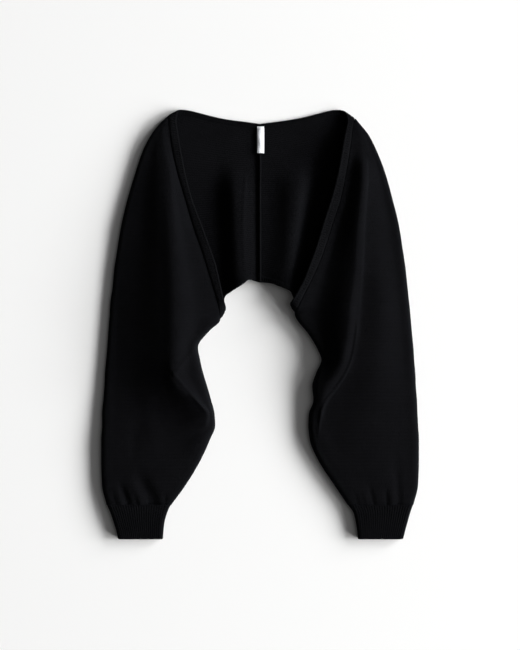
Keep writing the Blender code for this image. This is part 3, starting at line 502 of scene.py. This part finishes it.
def rowStations(side, step):
    keys = {row.y for row in side["sections"]}
    keys.update((side["hem"][-1].y, side["neck"][0].y))
    keys = sorted(keys)
    stations = [keys[0]]
    for low, high in zip(keys, keys[1:]):
        count = ceil((high - low) / step)
        stations += [low + (high - low) * (i + 1) / count for i in range(count)]
    return stations


creaseLook = {
    "cornerCuts": 3,
    "step": 3.0,
    "fewest": 8,
    "fadeIn": 10.0,
    "fadeOut": 45.0,  # at most this share of its length
    "fadeShare": 0.4,
    "spread": 0.6,  # of the crest's falloff, as a share of the crease's width
}


def creaseLine(points):
    line = np.array(points)
    for _ in range(creaseLook["cornerCuts"]):  # the ends are kept
        quarter = line[:-1] * 0.75 + line[1:] * 0.25
        threeQuarters = line[:-1] * 0.25 + line[1:] * 0.75
        line = np.concatenate((line[:1], np.stack((quarter, threeQuarters), axis=1).reshape(-1, 2), line[-1:]))
    walked = np.concatenate(([0.0], np.cumsum(np.hypot(*np.diff(line, axis=0).T))))
    even = np.linspace(0.0, walked[-1], max(int(walked[-1] / creaseLook["step"]), creaseLook["fewest"]))
    return np.column_stack((np.interp(even, walked, line[:, 0]), np.interp(even, walked, line[:, 1]))), walked[-1]


def creaseRelief(grid, creases):
    # a soft ridge or furrow along each line, fading out at its ends
    relief = np.zeros(grid.shape[:2])
    for crease in creases:
        line, length = creaseLine(crease.line)
        gaps = grid[:, :, None, :2] - line[None, None, :, :]
        lengths = np.hypot(gaps[..., 0], gaps[..., 1])
        nearest = lengths.argmin(axis=2)
        inside = np.take_along_axis(gaps[..., 0], nearest[..., None], axis=2)[..., 0] < 0.0
        width = np.where(inside, crease.inward or crease.width, crease.width)
        along = nearest / (len(line) - 1) * length
        fadeOut = min(creaseLook["fadeShare"] * length, creaseLook["fadeOut"])
        fade = np.clip(along / creaseLook["fadeIn"], 0.0, 1.0) * np.clip((length - along) / fadeOut, 0.0, 1.0)
        relief += crease.rise * fade * np.exp(-(lengths.min(axis=2) / (creaseLook["spread"] * width)) ** 2)
    return relief


def place(side, point):
    return Vector((side["sign"] * point[0], point[1] + shiftY, point[2])) * mm


def sheetPiece(name, rows, uvs, material, capEnds=False):
    bm = bmesh.new()
    across = len(rows[0])
    bmesh.ops.create_grid(bm, x_segments=across - 1, y_segments=len(rows) - 1, size=0.5)
    bm.verts.ensure_lookup_table()
    cloth = bm.loops.layers.uv.new("cloth")
    spots = {}
    for r, row in enumerate(rows):
        for c, point in enumerate(row):
            vert = bm.verts[r * across + c]
            vert.co = point
            spots[vert.index] = uvs[r][c]
    for face in bm.faces:
        face.smooth = True
        for loop in face.loops:
            loop[cloth].uv = spots[loop.vert.index]
    bmesh.ops.remove_doubles(bm, verts=bm.verts, dist=mergeReach)
    if capEnds:
        bmesh.ops.holes_fill(bm, edges=[edge for edge in bm.edges if edge.is_boundary], sides=0)
    bmesh.ops.recalc_face_normals(bm, faces=bm.faces)
    mesh = bpy.data.meshes.new(name)
    bm.to_mesh(mesh)
    bm.free()
    mesh.materials.append(material)
    piece = addObject(name, mesh)
    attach(piece, "root")
    return piece


# finishes
yarn = {
    "black": (0.0027, 0.0028, 0.0035),
    "rib": (0.0027, 0.0028, 0.0034),
    "band": (0.0030, 0.0031, 0.0037),
    "white": (0.78, 0.80, 0.84),
}


# the shaders' uniform values, set straight on their sockets
knitShader = {
    "Roughness": 0.85,
    "Specular IOR Level": 0.03,
    "Sheen Weight": 0.015,
    "Sheen Roughness": 0.45,
    "Sheen Tint": (0.62, 0.72, 1.0, 1.0),
}
wovenShader = {"Roughness": 0.6, "Specular IOR Level": 0.3}

stitchLook = {
    "loopDepth": 0.65,  # how much of a stitch's height comes and goes along the wale
    "paintedShadeLow": 0.55,  # painted shade: how dark the yarn's colour is made in the hollows between the stitches
    # painted shade: how much lighter the colour gets towards the stitch loops' crowns
    "paintedShadeGain": 0.7,
}

fuzzLook = {"Cloud": (0.25, 22.0), "Lint": (0.35, 900.0)}  # amount and scale


def newSocket(group, name, way, kind, value=None):
    socket = group.interface.new_socket(name=name, in_out=way, socket_type=kind)
    if value is not None:
        socket.default_value = value


def mathNode(tree, operation, *inputs):
    node = tree.nodes.new("ShaderNodeMath")
    node.operation = operation
    for i, value in enumerate(inputs):
        if isinstance(value, (int, float)):
            node.inputs[i].default_value = value
        else:
            tree.links.new(value, node.inputs[i])
    return node.outputs[0]


def makeStitchGroup():
    group = bpy.data.node_groups.new("plainKnit", "ShaderNodeTree")
    newSocket(group, "Cloth", "INPUT", "NodeSocketVector")
    newSocket(group, "Wale", "INPUT", "NodeSocketFloat", 0.0022)
    newSocket(group, "Course", "INPUT", "NodeSocketFloat", 0.0019)
    newSocket(group, "Slant", "INPUT", "NodeSocketFloat", 0.7)
    newSocket(group, "Height", "OUTPUT", "NodeSocketFloat")
    newSocket(group, "PaintedShade", "OUTPUT", "NodeSocketFloat")
    start = group.nodes.new("NodeGroupInput")
    end = group.nodes.new("NodeGroupOutput")
    split = group.nodes.new("ShaderNodeSeparateXYZ")
    group.links.new(start.outputs["Cloth"], split.inputs[0])
    wales = mathNode(group, "DIVIDE", split.outputs["X"], start.outputs["Wale"])
    inWale = mathNode(group, "FRACT", wales)
    arm = mathNode(group, "ABSOLUTE", mathNode(group, "SUBTRACT", inWale, 0.5))
    armHeight = mathNode(group, "SINE", mathNode(group, "MULTIPLY", arm, 2.0 * pi))
    armHeight = mathNode(group, "ABSOLUTE", armHeight)
    courses = mathNode(group, "DIVIDE", split.outputs["Y"], start.outputs["Course"])
    slanted = mathNode(group, "MULTIPLY_ADD", arm, mathNode(group, "MULTIPLY", start.outputs["Slant"], 2.0), courses)
    loop = mathNode(group, "SINE", mathNode(group, "MULTIPLY", slanted, 2.0 * pi))
    loop = mathNode(group, "MULTIPLY_ADD", loop, 0.5, 0.5)
    loop = mathNode(group, "MULTIPLY_ADD", loop, stitchLook["loopDepth"], 1.0 - stitchLook["loopDepth"])
    height = mathNode(group, "MULTIPLY", armHeight, loop)
    # painted shade: the colour is darkened in the hollows between the stitch loops and kept full on their crowns
    paintedShade = mathNode(group, "MULTIPLY_ADD", height, stitchLook["paintedShadeGain"], stitchLook["paintedShadeLow"])
    group.links.new(height, end.inputs["Height"])
    group.links.new(paintedShade, end.inputs["PaintedShade"])
    return group


def makeFuzzGroup():
    group = bpy.data.node_groups.new("yarnFuzz", "ShaderNodeTree")
    newSocket(group, "Colour", "INPUT", "NodeSocketColor", (0.01, 0.01, 0.01, 1.0))
    newSocket(group, "PaintedShade", "INPUT", "NodeSocketFloat", 1.0)
    for name, (amount, _) in fuzzLook.items():
        newSocket(group, name, "INPUT", "NodeSocketFloat", amount)
    newSocket(group, "Colour", "OUTPUT", "NodeSocketColor")
    start = group.nodes.new("NodeGroupInput")
    end = group.nodes.new("NodeGroupOutput")
    where = group.nodes.new("ShaderNodeTexCoord")
    # the colour is scaled by the painted shade between the stitches, then by random cloudy tone and lint
    total = start.outputs["PaintedShade"]
    for name, (_, scale) in fuzzLook.items():
        clouds = group.nodes.new("ShaderNodeTexNoise")
        clouds.inputs["Scale"].default_value = scale
        clouds.inputs["Detail"].default_value = 2.0
        group.links.new(where.outputs["Object"], clouds.inputs["Vector"])
        swing = mathNode(group, "SUBTRACT", clouds.outputs["Fac"], 0.5)
        swing = mathNode(group, "MULTIPLY", swing, mathNode(group, "MULTIPLY", start.outputs[name], 2.0))
        total = mathNode(group, "MULTIPLY", total, mathNode(group, "ADD", swing, 1.0))
    scaled = group.nodes.new("ShaderNodeVectorMath")
    scaled.operation = "SCALE"
    group.links.new(start.outputs["Colour"], scaled.inputs[0])
    group.links.new(total, scaled.inputs["Scale"])
    group.links.new(scaled.outputs[0], end.inputs["Colour"])
    return group


stitchGroup = makeStitchGroup()
fuzzGroup = makeFuzzGroup()


def newCloth(name, values):
    material = bpy.data.materials.new(name)
    material.use_nodes = True
    tree = material.node_tree
    shader = tree.nodes["Principled BSDF"]
    for socket, value in values.items():
        shader.inputs[socket].default_value = value
    cloth = tree.nodes.new("ShaderNodeUVMap")
    cloth.uv_map = "cloth"
    return material, tree, shader, cloth


def raiseCloth(tree, shader, height, relief):
    lift = tree.nodes.new("ShaderNodeBump")
    lift.inputs["Strength"].default_value = 1.0
    lift.inputs["Distance"].default_value = relief
    tree.links.new(height, lift.inputs["Height"])
    tree.links.new(lift.outputs["Normal"], shader.inputs["Normal"])


def makeKnit(name, colour, wale, course, slant, relief):
    material, tree, shader, cloth = newCloth(name, knitShader)
    stitch = tree.nodes.new("ShaderNodeGroup")
    stitch.node_tree = stitchGroup
    stitch.inputs["Wale"].default_value = wale
    stitch.inputs["Course"].default_value = course
    stitch.inputs["Slant"].default_value = slant
    tree.links.new(cloth.outputs["UV"], stitch.inputs["Cloth"])
    fuzz = tree.nodes.new("ShaderNodeGroup")
    fuzz.node_tree = fuzzGroup
    fuzz.inputs[0].default_value = (*colour, 1.0)
    # the stitches' painted shade darkens the base colour between them
    tree.links.new(stitch.outputs["PaintedShade"], fuzz.inputs["PaintedShade"])
    tree.links.new(fuzz.outputs[0], shader.inputs["Base Color"])
    raiseCloth(tree, shader, stitch.outputs["Height"], relief)
    return material


def makeWoven(name, colour, pitch, relief):
    material, tree, shader, cloth = newCloth(name, wovenShader)
    shader.inputs["Base Color"].default_value = (*colour, 1.0)
    split = tree.nodes.new("ShaderNodeSeparateXYZ")
    tree.links.new(cloth.outputs["UV"], split.inputs[0])
    waves = [mathNode(tree, "SINE", mathNode(tree, "MULTIPLY", split.outputs[axis], 2.0 * pi / pitch))
             for axis in ("X", "Y")]
    raiseCloth(tree, shader, mathNode(tree, "MULTIPLY", *waves), relief)
    return material


# the stitches' widths, heights and relief, in metres
knitBlack = makeKnit("knit_black", yarn["black"], wale=0.0021, course=0.0024, slant=0.55, relief=0.0005)
ribBlack = makeKnit("rib_black", yarn["rib"], wale=0.0015, course=0.0019, slant=0.6, relief=0.0003)
bandBlack = makeKnit("band_black", yarn["band"], wale=0.0018, course=0.0026, slant=0.9, relief=0.0005)
labelWhite = makeWoven("label_white", yarn["white"], pitch=0.0006, relief=0.00008)
print("stage: finishes")


# the two knitted halves
def unevenness(side, point, steps, last, amount, calm):
    # soft swells of the laid cloth, none of them at its edges; steps counts the points from one edge
    x, y, _ = point
    acrossScale, alongScale = halfLook["swayScale"]
    sway = noise.noise(Vector((x * acrossScale, y * alongScale, halfLook["swayStart"] + side["sign"])))
    overCuff = (y - halfLook["cuffJoinY"]) / halfLook["calmCuff"]
    return amount * sway * max(min(1.0, steps / calm, (last - steps) / calm, overCuff), 0.0)


def makeHalf(side):
    stations = rowStations(side, halfLook["rowStep"])
    grid = np.array([[tuple(p) for p in sectionPoints(side, y)] for y in stations])
    frontCount = sum(halfLook["frontSpans"]) + 1
    front = grid[:, :frontCount]
    front[..., 2] += creaseRelief(front, side["creases"])
    back = grid[:, frontCount:]
    back[..., 2] += np.clip(creaseRelief(back, side["backCreases"]), 0.0, None)
    for row in front:
        for c, point in enumerate(row):
            point[2] += unevenness(side, point, c, frontCount - 1, halfLook["unevenFront"], halfLook["calmFront"])
    for row in back:
        for c, point in enumerate(row):
            swell = unevenness(side, point, c, len(row) - 1, halfLook["unevenBack"], halfLook["calmBack"])
            point[2] += max(swell, 0.0)
    # the cloth measured out from the overarm fold
    fold = frontCount - 1
    lengths = np.linalg.norm(np.diff(grid, axis=1), axis=2)
    across = np.concatenate((np.zeros((len(stations), 1)), np.cumsum(lengths, axis=1)), axis=1)
    across -= across[:, fold:fold + 1]
    uvs = [[(across[r, c] * mm, stations[r] * mm) for c in range(grid.shape[1])] for r in range(len(stations))]
    rows = [[place(side, point) for point in row] for row in grid]
    name = "half_" + side["name"]
    half = sheetPiece("knit_" + name, rows, uvs, knitBlack)
    wall = half.modifiers.new("wall", "SOLIDIFY")
    wall.thickness = knitWall * mm
    wall.offset = 0.0
    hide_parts(name)


for side in (leftHalf, rightHalf):
    makeHalf(side)


# ribbed cuffs
cuffLook = {
    "ribs": 52,
    "perRib": 8,
    "rise": 0.6,
    "furrowShape": 1.5,
    "wall": 2.4,
    "outlineSteps": 40,
    "rowStep": 2.5,
    "lip": 1.6,  # how far the wall's end rounds over at the hand
    "lipRows": 4,
    "innerRows": 8,
    "tuck": 1.6,  # how far it goes into the sleeve where it is linked, and how far in from its wall
    "tuckInset": 0.9,
    "joinGap": 0.2,
    "joinInset": 0.15,
    "flat": (0.19, 0.066),
    "flatArea": 0.0125,
}


def cuffOutline(outer, inner, height, inset, count):
    radius = 0.5 * height - inset
    left = inner + 0.5 * height
    right = outer - 0.5 * height
    steps = cuffLook["outlineSteps"]
    turn = np.linspace(-0.5 * pi, 0.5 * pi, steps)
    low = np.column_stack((np.linspace(left, right, steps), np.full(steps, inset)))
    outerSide = np.column_stack((right + radius * np.cos(turn), 0.5 * height + radius * np.sin(turn)))
    high = np.column_stack((np.linspace(right, left, steps), np.full(steps, height - inset)))
    innerSide = np.column_stack((left - radius * np.cos(turn), 0.5 * height - radius * np.sin(turn)))
    dense = np.concatenate((low, outerSide, high, innerSide, low[:1]))
    walked = np.concatenate(([0.0], np.cumsum(np.hypot(*np.diff(dense, axis=0).T))))
    even = np.linspace(0.0, walked[-1], count + 1)
    return np.column_stack((np.interp(even, walked, dense[:, 0]), np.interp(even, walked, dense[:, 1]))), even


def cuffRow(side, y, inset, rise):
    ring = tableRow(side["cuff"][::-1], y)
    count = cuffLook["ribs"] * cuffLook["perRib"]
    outline, even = cuffOutline(ring.outer, ring.inner, ring.height, inset, count)
    sunk, _ = cuffOutline(ring.outer, ring.inner, ring.height, inset + rise, count)
    points, uvs = [], []
    for i in range(count + 1):
        furrow = (0.5 - 0.5 * cos(2.0 * pi * i / cuffLook["perRib"])) ** cuffLook["furrowShape"]
        x, z = outline[i] + (sunk[i] - outline[i]) * furrow
        points.append(place(side, (x, y, z)))
        uvs.append((even[i] * mm, y * mm))
    return points, uvs


def makeCuff(side):
    top, hem = side["cuff"][0].y, side["cuff"][-1].y
    wall, lip = cuffLook["wall"], cuffLook["lip"]
    tucked = top + cuffLook["tuck"]
    rows = [cuffRow(side, tucked, cuffLook["tuckInset"], 0.0)]
    for y in np.linspace(top - cuffLook["joinGap"], hem + lip, ceil((top - hem) / cuffLook["rowStep"])):
        rows.append(cuffRow(side, y, cuffLook["joinInset"] * exp(-(top - y)), cuffLook["rise"]))
    for i in range(1, cuffLook["lipRows"] + 1):
        angle = pi * i / (cuffLook["lipRows"] + 1)
        inset = 0.5 * wall * (1.0 - cos(angle))
        rise = cuffLook["rise"] * (1.0 + cos(angle)) * 0.5
        rows.append(cuffRow(side, hem + lip - lip * sin(angle), inset, rise))
    for y in np.linspace(hem + lip, tucked, cuffLook["innerRows"]):
        rows.append(cuffRow(side, y, wall, 0.0))
    rows.append(rows[0])
    name = "cuff_" + side["name"]
    cuff = sheetPiece("rib_" + name, [row[0] for row in rows], [row[1] for row in rows], ribBlack)
    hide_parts(name)


for side in (leftHalf, rightHalf):
    makeCuff(side)


# the band round the opening
bandLook = {
    "wall": 2.4,
    "thinShare": 0.62,  # the wall's thickness at the join, growing to full over this distance from it
    "thinReach": 5.0,
    "rowStep": 4.0,
    "fineStep": 0.75,
    "smoothRounds": 8,
    "ringPoints": 44,
    "squareAcross": 0.55,  # how square a section of the band is, across it and through it
    "squareUp": 0.45,
    "overlap": 1.2,  # how far the band's inner side is linked over the knitted edge
    "pastCentre": 0.35,  # how far it runs on to meet its twin at the centre back
    "startIn": 0.3,  # the band's start at the underarm, from the end of the sleeve's inner edge
    "startUp": 1.6,
    "startTurn": 1.7,
    "turnSteps": (0.34, 0.67, 1.0),
    "turnRise": 1.2,  # how much higher it lies after the turn at the shoulder point, and how soon that fades
    "turnFade": 9.0,
    "groove": (1.4, 1.9, {"left": 0.05, "right": 0.35}),  # along the join: distance from it, half width, depth
    "links": (3.9, 1.1, 0.4, 3.3, 0.15),  # linked loops: distance, half width, rise, pitch, lean
    "dashes": (0.45, 4.2, 0.6, 4.5),  # slanting stitches: rise, pitch, where they turn, width of one pitch
    "dashesFade": ((4.5, 6.0), (1.5, 3.0)),  # from the join and from the free edge
    "bead": (1.7, 1.1, 0.6),  # rounded free edge: distance from it, half width, rise
    "dome": {"left": 0.8, "right": 0.2},  # how far the doubled band swells over its join
    "domeReach": (7.0, 0.55),  # it is full from here and falls from this share of the width
    "hiddenShare": 0.2,  # how much of the relief shows on the face that lies down
    "tilt": 0.3,
    "curl": 2.2,  # how far the front's free edge lifts, from the underarm up and towards the shoulder
    "curlIn": (5.0, 40.0),
    "curlOut": (60.0, 15.0),
    "flatEase": 1.05,
}
bandLift = 0.5 * (bandWall - knitWall)


def startPair(side, edge, turn):
    weld = frontPoints(side, side["hem"][0].y)[-1]
    z = weld.z + turn
    return (weld.x - bandLook["startIn"], weld.y + bandLook["startUp"], z), (edge.edgeX, edge.edgeY, z)


def backPair(side, row, y, raised=0.0):
    inner = sectionPoints(side, y)[-1]
    edgeZ = backHeight(side, row.edgeX, row.edgeY) + raised + bandLift
    return (inner.x, inner.y, inner.z + bandLift), (row.edgeX, row.edgeY, edgeZ)


def bandStations(side):
    underarm = side["hem"][0].y
    stations = [y for y in rowStations(side, bandLook["rowStep"]) if y > underarm]
    last = stations[-1]
    curlIn = [underarm + reach for reach in bandLook["curlIn"]]
    curlOut = [last - reach for reach in bandLook["curlOut"]]
    pairs = [startPair(side, side["frontEdge"][0], bandLook["startTurn"])]
    for y in stations:
        row = tableRow(side["frontEdge"], y)
        curl = bandLook["curl"] * smoothStep(*curlIn, y) * (1.0 - smoothStep(*curlOut, y))
        pairs.append((tuple(frontPoints(side, y)[-1]), (row.edgeX, row.edgeY, row.edgeZ + curl)))
    front = frontPoints(side, last)
    before = front[-1]
    edgeBefore = np.array(pairs[-1][1])
    for turn in side["turn"]:
        edge = np.array((turn.edgeX, turn.edgeY, turn.edgeZ))
        inner = front[int((1.0 - turn.share) * (len(front) - 1))]
        for t in bandLook["turnSteps"]:
            pairs.append((tuple(before.lerp(inner, t)), tuple(edgeBefore + (edge - edgeBefore) * t)))
        before, edgeBefore = inner, edge
    for y in reversed([y for y in stations if y >= side["neck"][0].y]):
        raised = bandLook["turnRise"] * smoothStep(last - bandLook["turnFade"], last, y)
        pairs.append(backPair(side, tableRow(side["neck"], y), y, raised))
    return np.array(pairs)


def hemStations(side):
    hem = side["hem"]
    pairs = [startPair(side, hem[0], -bandLook["startTurn"])]
    for y in rowStations(side, bandLook["rowStep"]):
        if hem[0].y < y <= hem[-1].y:
            pairs.append(backPair(side, tableRow(hem, y), y))
    return np.array(pairs)


def unit(vectors):
    return vectors / np.maximum(np.linalg.norm(vectors, axis=-1, keepdims=True), 1e-9)


def finePairs(pairs):
    end = pairs[-1:] * (0.0, 1.0, 1.0) - (bandLook["pastCentre"], 0.0, 0.0)
    pairs = np.concatenate((pairs, end))
    middle = pairs.mean(axis=1)
    walked = np.concatenate(([0.0], np.cumsum(np.linalg.norm(np.diff(middle, axis=0), axis=1))))
    even = np.linspace(0.0, walked[-1], ceil(walked[-1] / bandLook["fineStep"]) + 1)
    fine = np.column_stack([np.interp(even, walked, column) for column in pairs.reshape(len(pairs), 6).T])
    for _ in range(bandLook["smoothRounds"]):
        fine[1:-1] = 0.25 * fine[:-2] + 0.5 * fine[1:-1] + 0.25 * fine[2:]
    return fine.reshape(-1, 2, 3), even


def bandRelief(side, gap, width, along):
    at, wide, deep = bandLook["groove"]
    relief = -deep[side["name"]] * exp(-((gap - at) / wide) ** 2)
    at, wide, rise, pitch, lean = bandLook["links"]
    relief += rise * (0.5 + 0.5 * sin(2.0 * pi * (along / pitch + lean * gap))) * exp(-((gap - at) / wide) ** 2)
    rise, pitch, turnShare, turnPitch = bandLook["dashes"]
    slant = abs(gap - turnShare * width) / turnPitch
    fromJoin, fromEdge = bandLook["dashesFade"]
    body = smoothStep(*fromJoin, gap) * smoothStep(*fromEdge, width - gap)
    relief += rise * body * sin(2.0 * pi * (along / pitch + slant))
    at, wide, rise = bandLook["bead"]
    relief += rise * exp(-((width - gap - at) / wide) ** 2)
    full, fall = bandLook["domeReach"]
    dome = smoothStep(0.0, full, gap) - smoothStep(fall * width, width, gap)
    return relief + bandLook["dome"][side["name"]] * dome


def bandRings(side, pairs):
    pairs, walked = finePairs(pairs)
    inner, edge = pairs[:, 0], pairs[:, 1]
    across = edge - inner
    along = unit(np.gradient(0.5 * (inner + edge), axis=0))
    upward = unit(np.cross(along, across))
    if upward[len(upward) // 4][2] < 0.0:
        upward = -upward
    count = bandLook["ringPoints"]
    profile = []  # a rounded rectangle: how far across the band, and which way through it
    for i in range(count + 1):
        turn = 2.0 * pi * i / count
        a = 0.5 - 0.5 * np.sign(cos(turn)) * abs(cos(turn)) ** bandLook["squareAcross"]
        profile.append((a, np.sign(sin(turn)) * abs(sin(turn)) ** bandLook["squareUp"]))
    thin, hidden, tilt = bandLook["thinShare"], bandLook["hiddenShare"], bandLook["tilt"]
    rows, uvs = [], []
    for k in range(len(pairs)):
        width = np.linalg.norm(across[k])
        lap = bandLook["overlap"] / width
        row, uvRow = [], []
        for a, rise in profile:
            swell = bandRelief(side, a * width, width, walked[k])
            grown = smoothStep(0.0, bandLook["thinReach"], a * width)
            half = 0.5 * bandLook["wall"] * (thin + (1.0 - thin) * grown)
            seen = hidden + (1.0 - hidden) * smoothStep(-tilt, tilt, np.sign(rise) * upward[k][2])
            point = inner[k] + across[k] * (a * (1.0 + lap) - lap) + upward[k] * rise * (half + swell * seen)
            point[2] = max(point[2], 0.0)  # never under the surface it lies on
            row.append(place(side, point))
            uvRow.append((a * width * mm, walked[k] * mm))
        rows.append(row)
        uvs.append(uvRow)
    return rows, uvs, walked[-1]


def makeBand(side, kind, pairs):
    rows, uvs, length = bandRings(side, pairs)
    name = kind + "_" + side["name"]
    strip = sheetPiece("band_" + name, rows, uvs, bandBlack, capEnds=True)
    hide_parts(name)
    widths = np.linalg.norm(pairs[:, 1] - pairs[:, 0], axis=1)
    area = 0.5 * sum(face.area for face in strip.data.polygons)
    width = float(widths.mean()) * mm
    flat = (width * bandLook["flatEase"], length * mm)
    area = min(area, flat[0] * flat[1])
    print("stage:", name, "length", round(length), "mm, mean width", round(width / mm, 1), "mm")


for side in (leftHalf, rightHalf):
    makeBand(side, "edge_band", bandStations(side))
    makeBand(side, "hem_band", hemStations(side))


# centre back seam and label
seamLook = {
    "halfWidth": 1.9,
    "rise": 3.0,
    "top": 339.0,
    "hem": 73.9,
    "clear": 0.45,  # how far it stands off the back
    "onBand": 87.0,  # from here down it lies on the hem band, this much higher
    "bandRise": 1.3,
    "bandFade": (-1.0, 2.5),
    "step": 0.8,
    "ringPoints": 16,
    "loopPitch": 3.2,
    "loopRise": 0.35,
    "loopWiden": 0.4,
    "sway": 0.5,
    "swayScale": 0.02,
    "swayStart": 5.0,
    "girthStep": 0.6,  # the cloth's measure from one point of a ring to the next
}


def makeCentreSeam():
    look = seamLook
    rows, uvs = [], []
    count = ceil((look["top"] - look["hem"]) / look["step"])
    bandFade = [look["onBand"] + reach for reach in look["bandFade"]]
    for k in range(count + 1):
        y = look["hem"] + (look["top"] - look["hem"]) * k / count
        swell = look["loopRise"] * abs(sin(pi * y / look["loopPitch"]))
        base = backHeight(leftHalf, 0.0, y) + 0.5 * knitWall + look["clear"]
        base += look["bandRise"] * (1.0 - smoothStep(*bandFade, y))
        sway = look["sway"] * noise.noise(Vector((0.0, y * look["swayScale"], look["swayStart"])))
        row, uvRow = [], []
        for i in range(look["ringPoints"] + 1):
            angle = 2.0 * pi * i / look["ringPoints"]
            x = sway - (look["halfWidth"] + look["loopWiden"] * swell) * cos(angle)
            z = base + 0.5 * (look["rise"] + swell) * (1.0 + sin(angle))
            row.append(Vector((x, y + shiftY, z)) * mm)
            uvRow.append((i * look["girthStep"] * mm, y * mm))
        rows.append(row)
        uvs.append(uvRow)
    seam = sheetPiece("linked_centre_back_seam", rows, uvs, bandBlack, capEnds=True)
    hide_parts("centre_back_seam")


labelLook = {
    "x": (-5.2, 7.0),
    "y": (299.0, 345.8),
    "wall": 0.7,
    "stepsX": 16,
    "stepsY": 48,
    "overSeam": 5.6,  # its height over the seam, and over the neck band that catches its upper end
    "overBand": 3.6,
    "caught": (340.0, 346.0),
    "drop": 0.05,
    "curl": 1.2,
    "curlReach": 14.0,
    "wave": 0.25,
    "wavesX": 0.25,
    "wavesY": 0.22,
    "flat": (0.0124, 0.047),
}


def makeLabel():
    look = labelLook
    rows, uvs = [], []
    west, east = look["x"]
    low, high = look["y"]
    for k in range(look["stepsY"] + 1):
        y = low + (high - low) * k / look["stepsY"]
        settled = smoothStep(*look["caught"], y)
        row, uvRow = [], []
        for i in range(look["stepsX"] + 1):
            x = west + (east - west) * i / look["stepsX"]
            z = look["overSeam"] + (look["overBand"] - look["overSeam"]) * settled
            z -= look["drop"] * x * x * (1.0 - settled)
            z += look["curl"] * (1.0 - smoothStep(low, low + look["curlReach"], y))
            z += look["wave"] * sin(look["wavesY"] * y + look["wavesX"] * x)
            row.append(Vector((x, y + shiftY, z)) * mm)
            uvRow.append((x * mm, y * mm))
        rows.append(row)
        uvs.append(uvRow)
    label = sheetPiece("blank_neck_label", rows, uvs, labelWhite)
    wall = label.modifiers.new("wall", "SOLIDIFY")
    wall.thickness = look["wall"] * mm
    wall.offset = 0.0
    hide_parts("neck_label")


makeCentreSeam()
makeLabel()
print("stage: centre back seam and label")
